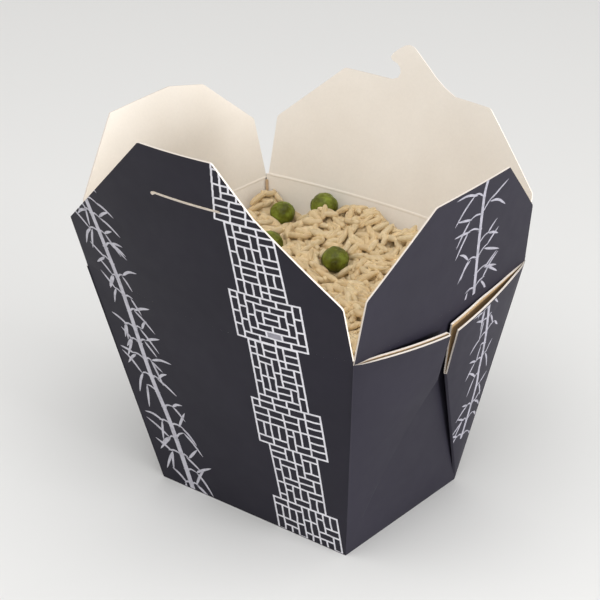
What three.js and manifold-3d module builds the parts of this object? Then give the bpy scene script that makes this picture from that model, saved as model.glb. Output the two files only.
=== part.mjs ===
// A fold-up paperboard takeaway box, open, filled with cooked rice and green peas.
// Millimetres, +Z up. The origin is the centre of the base, on its underside.
// +X runs along the front panel to its right, +Y from the front panel to the back one.

import * as THREE from "three";
import { mergeVertices } from "three/addons/utils/BufferGeometryUtils.js";
import Module from "manifold-3d";

const wasm = await Module();
wasm.setup();

// Driving dimensions of the folded board.
const BOARD = 0.6;
const RIM_HEIGHT = 90;
const BASE_WIDTH = 86;
const BASE_DEPTH = 65;
const RIM_WIDTH = 119.4;
const RIM_DEPTH = 98.6;
const SIDE_CREASE_DROP = 1.4; // the side creases lie lower, so that their flaps tuck under
const HINGE_GAP = 0.35; // between a panel's rim and the flap above it
const BOW_GROWTH = 1.5; // power by which a panel's bow grows from the base to the rim

// A flap is an outline in its own flat plane: along its crease, and up from it, from one end over
// the top to the other. foot is half the flap's length at its crease and tilt its lean outwards.
// bow is how far the crease stands out from the straight line between its ends, and dip how far
// its middle hangs below them.
const FLAPS = {
  front: { turn: 180, bow: 6, dip: 2.6, tilt: 16.5, foot: 59.2,
    outline: [[-60.3, 24.4], [-24.2, 74.6], [6, 74.6], [60.3, 20.6]] },
  back: { turn: 0, bow: 5, dip: 0, tilt: 14.9, foot: 58.2,
    outline: [[-58.2, 22.7], [-32.8, 46.1], [32.8, 46.1], [58, 22.3]] },
  left: { turn: 90, bow: 1.8, dip: 0, tilt: 8.6, foot: 46.4,
    outline: [[-45.5, 23.6], [-25.3, 48.8], [6.1, 48.8], [23.4, 44.4], [46.6, 24]] },
  right: { turn: -90, bow: 1.8, dip: 0, tilt: 10.8, foot: 46.2,
    outline: [[-45.3, 24.6], [-22.1, 48.8], [19.1, 48.8], [46.6, 24.6]] },
};

// The locking slit in the front flap and the hooked tab that belongs in it.
const SLIT = { from: -23.2, to: 5.8, up: 54.6, width: 1 };
const TAB = { from: -12.1, to: 16.6, root: 44.4, neckAlong: -8.7, neckUp: 49.1, barbAlong: -14,
  barbUp: 53.2, crownAlong: -6.4, crownUp: 59.9 };

// Each side wall carries two webs: the corner's spare board, folded double and laid on the wall.
// Its fold climbs from the foot of the corner to foldUp, its cut edge from there to tipUp, and it
// springs off the wall by spring where the cut edge's two layers part by opening.
const WEB = { footUp: 1, foldAlong: 2.7, foldUp: 63, tipAlong: 2.3, tipUp: 81.5, cornerUp: 64.5,
  spring: 5.6, opening: 2, springGrowth: 2.5 };

// Rice and peas. Heights are above the base's underside.
const RICE_LEVEL = 79.5;
const RICE_WALL_GAP = 0.5;
const RICE_FLOOR_GAP = 0.5;
const RICE_SWELLS = [
  { x: 2, y: 41, rise: 4.6, spreadX: 15, spreadY: 9 },
  { x: 31, y: 37, rise: 3.2, spreadX: 13, spreadY: 10 },
  { x: -53, y: 44, rise: 3.4, spreadX: 6, spreadY: 6 },
  { x: -37, y: 47, rise: -3.6, spreadX: 9, spreadY: 7 },
  { x: -28, y: 40, rise: 3.2, spreadX: 7, spreadY: 9 },
  { x: -10, y: 8, rise: 1.4, spreadX: 16, spreadY: 12 },
  { x: 30, y: -10, rise: 1.2, spreadX: 18, spreadY: 14 },
  { x: -38, y: -24, rise: 1, spreadX: 14, spreadY: 12 },
];
const RICE_RIPPLE = 0.55;
const GRAIN_LENGTH = 7;
const GRAIN_WIDTH = 2.5;
const GRAIN_SPACING = 8.5;
const GRAIN_RAND_SEED = 20;
const PEA_DIAMETER = 10.6;
const PEA_CLEARANCE = 0.35;
const PEAS = [
  { name: "pea_back_left", x: -45.5, y: 41, z: 80.5, size: 0.94 },
  { name: "pea_back_wall", x: -27, y: 46.1, z: 87.4, size: 1.02 },
  { name: "pea_left", x: -31.2, y: 20.6, z: 81, size: 0.98 },
  { name: "pea_middle", x: -3.2, y: 21.4, z: 80.6, size: 1 },
  { name: "pea_right_hidden", x: 42, y: 2, z: 81, size: 0.97 },
  { name: "pea_front_hidden", x: -20, y: -24, z: 80.6, size: 1.02 },
];

// Mesh density.
const WALL_STEPS = 8;
const WALL_RINGS = [0, 0.3, 0.58, 0.8, 1];
const FLAP_STEPS = 12;
const RICE_CELLS_X = 22;
const RICE_CELLS_Y = 18;
const GRAIN_SIDES = 5;

const COLOURS = {
  board: new THREE.MeshStandardMaterial({ color: 0x35333c, roughness: 0.55, metalness: 0 }),
  rice: new THREE.MeshStandardMaterial({ color: 0xe6d9b4, roughness: 0.5, metalness: 0 }),
  pea: new THREE.MeshStandardMaterial({ color: 0x5f7f26, roughness: 0.45, metalness: 0 }),
};

const radians = THREE.MathUtils.degToRad;

// The half length of a side's panel along its crease and the distance of its outer face from the
// centre, at the fraction f of the rim's height.
const halfWidth = (f) => THREE.MathUtils.lerp(BASE_WIDTH, RIM_WIDTH, f) / 2;
const halfDepth = (f) => THREE.MathUtils.lerp(BASE_DEPTH, RIM_DEPTH, f) / 2;
const facesY = (side) => side.turn % 180 === 0;
const halfLength = (side, f) => (facesY(side) ? halfWidth(f) : halfDepth(f));
const reach = (side, f) => (facesY(side) ? halfDepth(f) : halfWidth(f));
const creaseHeight = (side) => (facesY(side) ? RIM_HEIGHT : RIM_HEIGHT - SIDE_CREASE_DROP);

// A point of a side's own frame (along, outwards, up) turned into the box's frame.
function fromSide(side, along, out, up) {
  const point = new THREE.Vector3(along, out, up);
  return point.applyAxisAngle(new THREE.Vector3(0, 0, 1), radians(side.turn));
}

// One closed surface from lists of points and triangles, with doubled points merged and the
// triangles that this flattens left out.
function surfaceOf(points, triangles) {
  const loose = new THREE.BufferGeometry().setFromPoints(points);
  loose.setIndex(triangles);
  const merged = mergeVertices(loose, 1e-4);
  const kept = [];
  for (let i = 0; i < merged.index.count; i += 3) {
    const [a, b, c] = [0, 1, 2].map((k) => merged.index.getX(i + k));
    if (a !== b && b !== c && c !== a) kept.push(a, b, c);
  }
  merged.setIndex(kept);
  return merged;
}

// A sheet with thickness: outer(i, j) and inner(i, j) give its two faces on a grid of points.
function sheetSurface(rows, columns, outer, inner) {
  const points = [];
  for (const face of [outer, inner]) {
    for (let i = 0; i <= rows; i++) {
      for (let j = 0; j <= columns; j++) points.push(face(i, j));
    }
  }
  const at = (side, i, j) => side * (rows + 1) * (columns + 1) + i * (columns + 1) + j;
  const triangles = [];
  const quad = (a, b, c, d) => triangles.push(a, b, c, a, c, d);
  for (let i = 0; i < rows; i++) {
    for (let j = 0; j < columns; j++) {
      quad(at(0, i, j), at(0, i, j + 1), at(0, i + 1, j + 1), at(0, i + 1, j));
      quad(at(1, i, j), at(1, i + 1, j), at(1, i + 1, j + 1), at(1, i, j + 1));
    }
    quad(at(0, i, 0), at(0, i + 1, 0), at(1, i + 1, 0), at(1, i, 0));
    quad(at(0, i, columns), at(1, i, columns), at(1, i + 1, columns), at(0, i + 1, columns));
  }
  for (let j = 0; j < columns; j++) {
    quad(at(0, 0, j), at(1, 0, j), at(1, 0, j + 1), at(0, 0, j + 1));
    quad(at(0, rows, j), at(0, rows, j + 1), at(1, rows, j + 1), at(1, rows, j));
  }
  return surfaceOf(points, triangles);
}

// A closed loft through rings of points, each ring counter-clockwise seen from above.
function loftSurface(rings, low, high) {
  const count = rings[0].length;
  const points = [...rings.flat(), low, high];
  const lowAt = points.length - 2;
  const highAt = points.length - 1;
  const triangles = [];
  for (let j = 0; j < count; j++) {
    const next = (j + 1) % count;
    for (let i = 0; i + 1 < rings.length; i++) {
      const here = i * count;
      const above = here + count;
      triangles.push(here + j, here + next, above + next, here + j, above + next, above + j);
    }
    const last = (rings.length - 1) * count;
    triangles.push(lowAt, next, j, highAt, last + j, last + next);
  }
  return surfaceOf(points, triangles);
}

// A closed surface as a solid that can be joined and cut.
function solidOf(geometry) {
  const bare = geometry.clone();
  bare.deleteAttribute("normal");
  bare.deleteAttribute("uv");
  const merged = mergeVertices(bare, 1e-4);
  const mesh = new wasm.Mesh({
    numProp: 3,
    vertProperties: new Float32Array(merged.attributes.position.array),
    triVerts: new Uint32Array(merged.index.array),
  });
  const solid = new wasm.Manifold(mesh);
  if (solid.volume() > 0) return solid;
  const turned = Uint32Array.from(mesh.triVerts);
  for (let i = 0; i < turned.length; i += 3) {
    [turned[i + 1], turned[i + 2]] = [turned[i + 2], turned[i + 1]];
  }
  mesh.triVerts = turned;
  return new wasm.Manifold(mesh);
}

// Joins solids two at a time, so that no join grows larger than it has to.
function joined(solids) {
  if (solids.length === 1) return solids[0];
  const half = Math.ceil(solids.length / 2);
  return joined(solids.slice(0, half)).add(joined(solids.slice(half)));
}

// The largest body of a solid, which drops loose scraps.
function largest(solid) {
  const bodies = solid.decompose();
  return bodies.reduce((best, body) => (body.volume() > best.volume() ? body : best));
}

function meshOf(name, solid, material) {
  const { vertProperties, triVerts } = solid.getMesh();
  const geometry = new THREE.BufferGeometry();
  geometry.setAttribute("position", new THREE.BufferAttribute(vertProperties, 3));
  geometry.setIndex(new THREE.BufferAttribute(triVerts, 1));
  geometry.computeVertexNormals();
  const mesh = new THREE.Mesh(geometry, material);
  mesh.name = name;
  return mesh;
}

// A generator of even random numbers from 0 to 1 that repeats for the same seed.
function seededRandom(seed) {
  let state = seed;
  return () => {
    state = (state + 0x6d2b79f5) | 0;
    let t = Math.imul(state ^ (state >>> 15), 1 | state);
    t = (t + Math.imul(t ^ (t >>> 7), 61 | t)) ^ t;
    return ((t ^ (t >>> 14)) >>> 0) / 4294967296;
  };
}

// One ring of the box at the fraction f of its height, drawn in from the outer face by inwards.
// The dip of a crease shares its drop with the rings below it.
function wallRing(f, inwards) {
  const ring = [];
  for (const side of [FLAPS.front, FLAPS.right, FLAPS.back, FLAPS.left]) {
    for (let k = 0; k < WALL_STEPS; k++) {
      const u = 1 - (2 * k) / WALL_STEPS;
      const arch = 1 - u * u;
      const out = reach(side, f) - inwards + side.bow * arch * f ** BOW_GROWTH;
      const along = u * (halfLength(side, f) - inwards);
      ring.push(fromSide(side, along, out, f * (RIM_HEIGHT - side.dip * arch)));
    }
  }
  return ring;
}

// The four walls and the base as one loft, hollowed by a second loft one board further in.
function cartonShell() {
  const outer = WALL_RINGS.map((f) => wallRing(f, 0));
  const aboveRim = 1 + 8 / RIM_HEIGHT;
  const fractions = [BOARD / RIM_HEIGHT, ...WALL_RINGS.slice(1), aboveRim];
  const inner = fractions.map((f) => wallRing(f, BOARD));
  const centre = (up) => new THREE.Vector3(0, 0, up);
  const solid = solidOf(loftSurface(outer, centre(0), centre(RIM_HEIGHT)));
  const hollow = solidOf(loftSurface(inner, centre(BOARD), centre(aboveRim * RIM_HEIGHT)));
  return solid.subtract(hollow);
}

// What is cut away above the two side creases, between the front panel and the back one.
function sideRimCut() {
  const tall = 10;
  const wide = 14;
  const block = new THREE.BoxGeometry(wide, RIM_DEPTH - 2 * BOARD, tall);
  const up = RIM_HEIGHT - SIDE_CREASE_DROP + tall / 2;
  const middles = [-1, 1].map((end) => (end * RIM_WIDTH) / 2);
  return joined(middles.map((x) => solidOf(block.clone().translate(x, 0, up))));
}

// One web. Its rows climb the corner edge; below the fold's end they reach to the fold, and
// above it to the cut edge. Its two layers are fused below and part towards the cut edge's top.
// Its edge at the corner is sunk a little into the wall, which fuses the two, and its layers are
// thinned there, so that they stay out of the box's inside.
function webSolid(side, end) {
  const foldRows = 5;
  const cutRows = 2;
  const columns = 4;
  const sunk = 0.3;
  const wallMargin = 0.05;
  const rowAt = (i) => {
    const below = Math.min(i / foldRows, 1);
    const above = Math.max(i - foldRows, 0) / cutRows;
    const foldAlong = THREE.MathUtils.lerp(2 * sunk - BASE_DEPTH / 2, -WEB.foldAlong, below);
    const foldUp = THREE.MathUtils.lerp(WEB.footUp, WEB.foldUp, below);
    const cornerUp = THREE.MathUtils.lerp(WEB.footUp, WEB.cornerUp, below);
    const cornerTop = creaseHeight(side) - sunk;
    const up = THREE.MathUtils.lerp(cornerUp, cornerTop, above);
    return {
      cornerAlong: sunk - halfLength(side, up / RIM_HEIGHT),
      cornerUp: up,
      freeAlong: THREE.MathUtils.lerp(foldAlong, -WEB.tipAlong, above),
      freeUp: THREE.MathUtils.lerp(foldUp, WEB.tipUp, above),
      spring: WEB.spring * (1 - (1 - below) ** WEB.springGrowth),
      opening: WEB.opening * above,
    };
  };
  const parting = (row, a) => BOARD + row.opening * a - sunk / 2;
  const layer = (depthOf) => (i, j) => {
    const row = rowAt(i);
    const a = j / columns;
    const up = THREE.MathUtils.lerp(row.cornerUp, row.freeUp, a);
    const along = THREE.MathUtils.lerp(row.cornerAlong, row.freeAlong, a);
    const lift = row.spring * (1 - (1 - a) ** 2) - sunk * (1 - a);
    const thinned = Math.min(1, (lift + BOARD - wallMargin) / (parting(row, a) + BOARD));
    const out = reach(side, up / RIM_HEIGHT) + lift - thinned * depthOf(row, a);
    return fromSide(side, end * along, out, up);
  };
  const rows = foldRows + cutRows;
  const sheets = [
    sheetSurface(rows, columns, layer(() => 0), layer(() => BOARD)),
    sheetSurface(rows, columns, layer(parting), layer((row, a) => parting(row, a) + BOARD)),
  ];
  return joined(sheets.map(solidOf));
}

function carton() {
  const webs = [FLAPS.left, FLAPS.right].flatMap((side) => [webSolid(side, 1), webSolid(side, -1)]);
  return largest(joined([cartonShell().subtract(sideRimCut()), ...webs]));
}

// A point of a flap in the frame of its hinge: along the crease, up the flap's own plane, and
// into the board from its outer face. The bow and the dip are the same all the way up the flap.
function flapPoint(side, along, up, depth) {
  const u = along / halfLength(side, 1);
  const arch = Math.max(0, 1 - u * u);
  const tilt = radians(side.tilt);
  const out = side.bow * arch + up * Math.sin(tilt) + (BOARD - depth) * Math.cos(tilt);
  const rise = up * Math.cos(tilt) - (BOARD - depth) * Math.sin(tilt);
  return new THREE.Vector3(along, out, rise - side.dip * arch);
}

function heightAlong(outline, along) {
  const next = Math.max(1, outline.findIndex(([x]) => x >= along - 1e-6));
  const [x0, y0] = outline[next - 1];
  const [x1, y1] = outline[next];
  return THREE.MathUtils.mapLinear(along, x0, x1, y0, y1);
}

// A flap without slit or tab: strips from the crease to the outline, side by side, which fan out
// from the flap's foot to its wider outline.
function flapSolid({ outline, foot, ...side }) {
  const corners = outline.map(([x]) => x);
  const ends = [corners[0], corners[corners.length - 1]];
  const even = Array.from({ length: FLAP_STEPS - 1 }, (_, k) =>
    THREE.MathUtils.lerp(...ends, (k + 1) / FLAP_STEPS));
  const near = (a, b) => Math.abs(a - b) < 1;
  const stations = [...even.filter((x) => !corners.some((c) => near(c, x))), ...corners];
  stations.sort((a, b) => a - b);
  const lowerUp = HINGE_GAP / Math.cos(radians(side.tilt));
  const face = (depth) => (i, j) => {
    const along = stations[j];
    if (i > 0) return flapPoint(side, along, heightAlong(outline, along), depth);
    return flapPoint(side, THREE.MathUtils.mapLinear(along, ...ends, -foot, foot), lowerUp, depth);
  };
  return solidOf(sheetSurface(1, stations.length - 1, face(0), face(BOARD)));
}

// A strip of a flap's plane, given by the two ends of each of its rows, deep enough to join or
// cut the flap.
function flapStrip(side, rows, depthFrom, depthTo) {
  const columns = 4;
  const face = (depth) => (i, j) => {
    const { up, from, to } = rows[i];
    return flapPoint(side, THREE.MathUtils.lerp(from, to, j / columns), up, depth);
  };
  return solidOf(sheetSurface(rows.length - 1, columns, face(depthFrom), face(depthTo)));
}

function slitCut() {
  const { from, to, up, width } = SLIT;
  const rows = [-1, 1].map((end) => ({ up: up + (end * width) / 2, from, to }));
  return flapStrip(FLAPS.front, rows, -2, BOARD + 2);
}

// The hooked tab, in rows from its root inside the flap to its crown.
function tabSolid() {
  const slope = (up) =>
    THREE.MathUtils.mapLinear(up, TAB.root, TAB.crownUp, TAB.to + 2, TAB.crownAlong + 3);
  const rows = [
    { up: TAB.root, from: TAB.from, to: slope(TAB.root) },
    { up: TAB.neckUp - 2.4, from: TAB.from + 2.2, to: slope(TAB.neckUp - 2.4) },
    { up: TAB.neckUp, from: TAB.neckAlong, to: slope(TAB.neckUp) },
    { up: TAB.neckUp + 2.4, from: TAB.neckAlong - 1.4, to: slope(TAB.neckUp + 2.4) },
    { up: TAB.barbUp, from: TAB.barbAlong, to: slope(TAB.barbUp) },
    { up: TAB.barbUp + 1.6, from: TAB.barbAlong + 0.4, to: slope(TAB.barbUp + 1.6) },
    { up: TAB.barbUp + 4, from: TAB.barbAlong + 2.8, to: slope(TAB.barbUp + 4) },
    { up: TAB.crownUp - 0.9, from: TAB.crownAlong - 2.4, to: slope(TAB.crownUp - 0.9) },
    { up: TAB.crownUp, from: TAB.crownAlong - 0.8, to: slope(TAB.crownUp) - 1.2 },
  ];
  return flapStrip(FLAPS.back, rows, 0, BOARD);
}

// A flap stands in a group at its hinge, with the group turned to face outwards.
function flapGroup(name, side, solid) {
  const hinge = new THREE.Group();
  const out = reach(side, 1) - BOARD;
  hinge.position.copy(fromSide(side, 0, out, creaseHeight(side)));
  hinge.rotation.z = radians(side.turn);
  hinge.add(meshOf(name, solid, COLOURS.board));
  return hinge;
}

// The height of the rice without its grains.
function riceHeight(x, y) {
  const swell = ({ x: cx, y: cy, rise, spreadX, spreadY }) =>
    rise * Math.exp(-(((x - cx) / spreadX) ** 2) - ((y - cy) / spreadY) ** 2);
  const ripple = Math.sin(x * 0.83 + 1.7 * Math.sin(y * 0.31)) * Math.sin(y * 0.91 + x * 0.22);
  const swells = RICE_SWELLS.reduce((sum, each) => sum + swell(each), 0);
  return RICE_LEVEL + swells + RICE_RIPPLE * ripple;
}

// The rice's core: the inside of the box, less a small gap, up to the uneven surface.
function riceCore() {
  const floor = BOARD + RICE_FLOOR_GAP;
  const inwards = BOARD + RICE_WALL_GAP;
  const fractions = [floor / RIM_HEIGHT, ...WALL_RINGS.slice(1)];
  const rings = fractions.map((f) => wallRing(f, inwards));
  const centre = (up) => new THREE.Vector3(0, 0, up);
  const filled = solidOf(loftSurface(rings, centre(floor), centre(RIM_HEIGHT)));
  const spot = (i, j) => ({
    x: (j / RICE_CELLS_X - 0.5) * (RIM_WIDTH + 8),
    y: (i / RICE_CELLS_Y - 0.5) * (RIM_DEPTH + 16),
  });
  const surface = (i, j) => {
    const { x, y } = spot(i, j);
    return new THREE.Vector3(x, y, riceHeight(x, y));
  };
  const underside = (i, j) => {
    const { x, y } = spot(i, j);
    return new THREE.Vector3(x, y, -1);
  };
  return filled.intersect(solidOf(sheetSurface(RICE_CELLS_Y, RICE_CELLS_X, surface, underside)));
}

// One grain about the origin, along X: blunt at one end, with a few flat sides.
function grainSurface(length, width) {
  const profile = [
    [-0.34, 0.4],
    [0.05, 0.5],
    [0.36, 0.36],
  ];
  const ring = ([along, radius]) =>
    Array.from({ length: GRAIN_SIDES }, (_, k) => {
      const angle = (2 * Math.PI * k) / GRAIN_SIDES;
      return new THREE.Vector3(
        radius * width * Math.cos(angle), radius * width * Math.sin(angle), along * length);
    });
  const surface = loftSurface(
    profile.map(ring), new THREE.Vector3(0, 0, -length / 2), new THREE.Vector3(0, 0, length / 2));
  return surface.rotateY(Math.PI / 2);
}

// Whether a grain's end lies clear of the walls.
function insideWalls(point) {
  const f = point.z / RIM_HEIGHT;
  const margin = BOARD + RICE_WALL_GAP + GRAIN_WIDTH / 2;
  return Math.abs(point.x) < halfWidth(f) - margin && Math.abs(point.y) < halfDepth(f) - margin;
}

function clearOfPeas(point) {
  const distance = (pea) => point.distanceTo(new THREE.Vector3(pea.x, pea.y, pea.z));
  const room = (pea) => (PEA_DIAMETER * pea.size) / 2 + PEA_CLEARANCE + GRAIN_WIDTH / 2;
  return PEAS.every((pea) => distance(pea) > room(pea));
}

// The grains that show, on a staggered grid with random shifts and turns.
function grains() {
  const random = seededRandom(GRAIN_RAND_SEED);
  const spread = (amount) => (random() - 0.5) * amount;
  const found = [];
  const rows = Math.floor((RIM_DEPTH - 6) / (GRAIN_SPACING * 0.87));
  const columns = Math.floor((RIM_WIDTH - 4) / GRAIN_SPACING);
  for (let i = 0; i < rows; i++) {
    for (let j = 0; j < columns; j++) {
      const stagger = i % 2 === 0 ? 0.25 : -0.25;
      const x = (j - (columns - 1) / 2 + stagger) * GRAIN_SPACING + spread(3);
      const y = (i - (rows - 1) / 2) * GRAIN_SPACING * 0.87 + spread(3);
      const grain = grainSurface(GRAIN_LENGTH * (1 + spread(0.3)), GRAIN_WIDTH * (1 + spread(0.2)));
      const turn = new THREE.Euler(spread(2), spread(0.9), random() * Math.PI, "ZYX");
      const place = new THREE.Vector3(x, y, riceHeight(x, y) + 0.5 + spread(0.7));
      const pose = new THREE.Matrix4().makeRotationFromEuler(turn).setPosition(place);
      const ends = [-0.5, 0, 0.5].map((k) => new THREE.Vector3(k * GRAIN_LENGTH, 0, 0).applyMatrix4(pose));
      if (ends.every((end) => insideWalls(end) && clearOfPeas(end))) {
        found.push(solidOf(grain.applyMatrix4(pose)));
      }
    }
  }
  return found;
}

function peaSurface(pea, clearance) {
  return new THREE.IcosahedronGeometry((PEA_DIAMETER * pea.size) / 2 + clearance, 2);
}

function riceHeap() {
  const sockets = PEAS.map((pea) => solidOf(peaSurface(pea, PEA_CLEARANCE).translate(pea.x, pea.y, pea.z)));
  return largest(joined([riceCore(), ...grains()]).subtract(joined(sockets)));
}

function peaMesh(pea) {
  const mesh = meshOf(pea.name, solidOf(peaSurface(pea, 0)), COLOURS.pea);
  mesh.position.set(pea.x, pea.y, pea.z);
  return mesh;
}

const box = new THREE.Group();
box.add(meshOf("carton", carton(), COLOURS.board));
box.add(flapGroup("flap_front", FLAPS.front, flapSolid(FLAPS.front).subtract(slitCut())));
box.add(flapGroup("flap_back", FLAPS.back, flapSolid(FLAPS.back).add(tabSolid())));
box.add(flapGroup("flap_left", FLAPS.left, flapSolid(FLAPS.left)));
box.add(flapGroup("flap_right", FLAPS.right, flapSolid(FLAPS.right)));
box.add(meshOf("rice_heap", riceHeap(), COLOURS.rice));
box.add(...PEAS.map(peaMesh));

export default box;
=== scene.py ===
"""Looks of an open takeaway box of folded board, filled with cooked rice and green peas.

Metres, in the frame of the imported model: the origin is the centre of the base, +X runs along the
front panel to its right, +Y to the back panel and +Z up.
"""
import logging
import math
import random
from dataclasses import dataclass, field
from enum import Enum
from typing import Callable, Sequence

import bmesh
import bpy
import numpy as np
from mathutils import Euler, Matrix, Vector, noise


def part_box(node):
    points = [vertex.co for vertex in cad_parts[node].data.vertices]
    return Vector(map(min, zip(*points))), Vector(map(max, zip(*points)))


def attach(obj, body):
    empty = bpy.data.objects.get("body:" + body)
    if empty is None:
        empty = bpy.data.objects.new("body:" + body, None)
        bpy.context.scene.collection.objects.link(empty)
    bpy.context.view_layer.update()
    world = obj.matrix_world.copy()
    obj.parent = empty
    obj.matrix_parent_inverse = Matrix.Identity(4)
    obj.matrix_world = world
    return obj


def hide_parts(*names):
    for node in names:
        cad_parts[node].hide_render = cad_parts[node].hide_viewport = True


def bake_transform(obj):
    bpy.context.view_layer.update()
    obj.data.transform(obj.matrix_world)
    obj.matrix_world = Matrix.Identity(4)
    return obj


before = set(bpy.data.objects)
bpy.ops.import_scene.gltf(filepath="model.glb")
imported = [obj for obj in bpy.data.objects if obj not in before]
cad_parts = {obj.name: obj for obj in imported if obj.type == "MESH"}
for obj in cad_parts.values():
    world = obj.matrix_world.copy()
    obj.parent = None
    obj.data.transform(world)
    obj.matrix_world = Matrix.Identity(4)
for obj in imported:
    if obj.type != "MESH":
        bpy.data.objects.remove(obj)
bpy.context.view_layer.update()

LOG = logging.getLogger("takeaway_box")
MM = 0.001
Point2 = tuple[float, float]
Mapping = Callable[[float, float, float], Vector]

# Driving dimensions of the folded board, in metres.
BOARD = 0.6 * MM
RIM_HEIGHT = 90 * MM
BASE_WIDTH = 86 * MM
BASE_DEPTH = 65 * MM
RIM_WIDTH = 119.4 * MM
RIM_DEPTH = 98.6 * MM
SIDE_CREASE_DROP = 1.4 * MM  # the side creases lie lower, so that their flaps tuck under
BOW_GROWTH = 1.5  # power by which a panel's bow grows from the base to the rim

# Meshes of the sheets: the width of a face, and the rows cut across a flap just above its crease.
CELL = 3.2 * MM
BLEND_ROW = 0.75 * MM
BLEND_ROWS = 17
BLEND_SPAN = 70 * MM


def lerp(a: float, b: float, t: float) -> float:
    """The value a fraction t of the way from a to b."""
    return a + (b - a) * t


def half_width(f: float) -> float:
    """Half the box's outer width at the fraction f of the rim's height."""
    return lerp(BASE_WIDTH, RIM_WIDTH, f) / 2


def half_depth(f: float) -> float:
    """Half the box's outer depth at the fraction f of the rim's height."""
    return lerp(BASE_DEPTH, RIM_DEPTH, f) / 2


class Side(Enum):
    """The box's four sides; each has a wall and a lid flap."""

    FRONT = "front"
    BACK = "back"
    LEFT = "left"
    RIGHT = "right"


class Face(Enum):
    """The three kinds of surface that a sheet of board shows, as material slots."""

    OUTSIDE = 0
    INSIDE = 1
    EDGE = 2


@dataclass(frozen=True)
class Panel:
    """One wall of the box and the lid flap above it, in the wall's own frame.

    Along runs with the crease, up from the base (a flap's up is measured from its crease) and
    depth from the outer face into the board. The crease stands out by bow in its middle and
    hangs down by dip there. The flap leans out by tilt, is twice foot long at its crease, and
    its outline runs from one end over the top to the other.
    """

    side: Side
    turn: float
    bow: float
    dip: float
    tilt: float
    foot: float
    outline: tuple[Point2, ...]

    @property
    def name(self) -> str:
        """The side's name, which the names of its pieces hold."""
        return self.side.value

    @property
    def faces_y(self) -> bool:
        """Whether this is the front or the back panel."""
        return self.turn % 180 == 0

    @property
    def crease(self) -> float:
        """Height of the crease's two ends."""
        return RIM_HEIGHT if self.faces_y else RIM_HEIGHT - SIDE_CREASE_DROP

    @property
    def body(self) -> str:
        """Name of the flap's lid body; no piece is put on it."""
        return f"{self.name}_lid"

    def half_length(self, f: float = 1.0) -> float:
        """Half the panel's length at the fraction f of the rim's height."""
        return half_width(f) if self.faces_y else half_depth(f)

    def reach(self, f: float = 1.0) -> float:
        """Distance of the panel's outer face from the box's middle."""
        return half_depth(f) if self.faces_y else half_width(f)

    def arch(self, along: float, f: float = 1.0) -> float:
        """Share of the bow at a place along the panel: 1 in its middle and 0 at its ends."""
        return 1 - min(1.0, abs(along) / self.half_length(f)) ** 2

    def swell(self, along: float, f: float) -> float:
        """How far the bowed wall stands out at a place along it and at the fraction f of its height."""
        return self.bow * self.arch(along, f) * max(f, 0.0) ** BOW_GROWTH

    def to_box(self, along: float, out: float, up: float) -> Vector:
        """A point of the panel's frame in the box's frame."""
        return Matrix.Rotation(math.radians(self.turn), 3, "Z") @ Vector((along, out, up))

    def wall(self, along: float, up: float, depth: float) -> Vector:
        """A point of the wall; inside points draw in at the corners by the same depth.

        Args:
            along: Place along the panel, from its middle.
            up: Height above the base before the crease's sag.
            depth: Depth below the outer face.

        Returns:
            The point in the box's frame.
        """
        f = up / RIM_HEIGHT
        half = self.half_length(f)
        out = self.reach(f) + self.swell(along, f) - depth
        drop = (RIM_HEIGHT - self.crease) * f + self.dip * self.arch(along, f) * f
        return self.to_box(along * (half - depth) / half, out, up - drop)

    def flap(self, along: float, up: float, depth: float) -> Vector:
        """A point of the flap, with up measured from its crease in the flap's plane.

        Args:
            along: Place along the crease, from its middle.
            up: Distance from the crease in the flap's plane.
            depth: Depth below the outer face.

        Returns:
            The point in the box's frame.
        """
        tilt = math.radians(self.tilt)
        arch = self.arch(along)
        out = self.reach() + self.bow * arch + up * math.sin(tilt) - depth * math.cos(tilt)
        rise = up * math.cos(tilt) + depth * math.sin(tilt)
        return self.to_box(along, out, self.crease - self.dip * arch + rise)

    def surface(self, along: float, up: float, depth: float) -> Vector:
        """A point of the wall (up below 0) or of the flap (up above 0), across the crease."""
        return self.flap(along, up, depth) if up > 0 else self.wall(along, RIM_HEIGHT + up, depth)

    def flap_outline(self) -> list[Point2]:
        """The flap's whole outline, from one end of its crease over the top to the other."""
        return [(-self.foot, 0.0), *self.outline, (self.foot, 0.0)]


def millimetres(*points: Point2) -> tuple[Point2, ...]:
    """Points given in millimetres, in metres."""
    return tuple((x * MM, y * MM) for x, y in points)


PANELS = {panel.side: panel for panel in (
    Panel(Side.FRONT, 180, 6 * MM, 2.6 * MM, 16.5, 59.6 * MM, millimetres(
        (-60.6, 22.4), (-34.9, 54.8), (-24.2, 74.6), (6, 74.6), (60.3, 20.6))),
    Panel(Side.BACK, 0, 5 * MM, 0, 14.9, 58.2 * MM, millimetres(
        (-58.2, 22.7), (-32.8, 46.1), (32.8, 46.1), (58, 22.3))),
    Panel(Side.LEFT, 90, 1.8 * MM, 0, 8.6, 48.8 * MM, millimetres(
        (-45.5, 23.6), (-25.3, 48.8), (6.1, 48.8), (23.4, 44.4), (46.6, 24))),
    Panel(Side.RIGHT, -90, 1.8 * MM, 0, 10.8, 48.8 * MM, millimetres(
        (-45.3, 24.6), (-22.1, 48.8), (19.1, 48.8), (48, 24.4))))}

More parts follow.
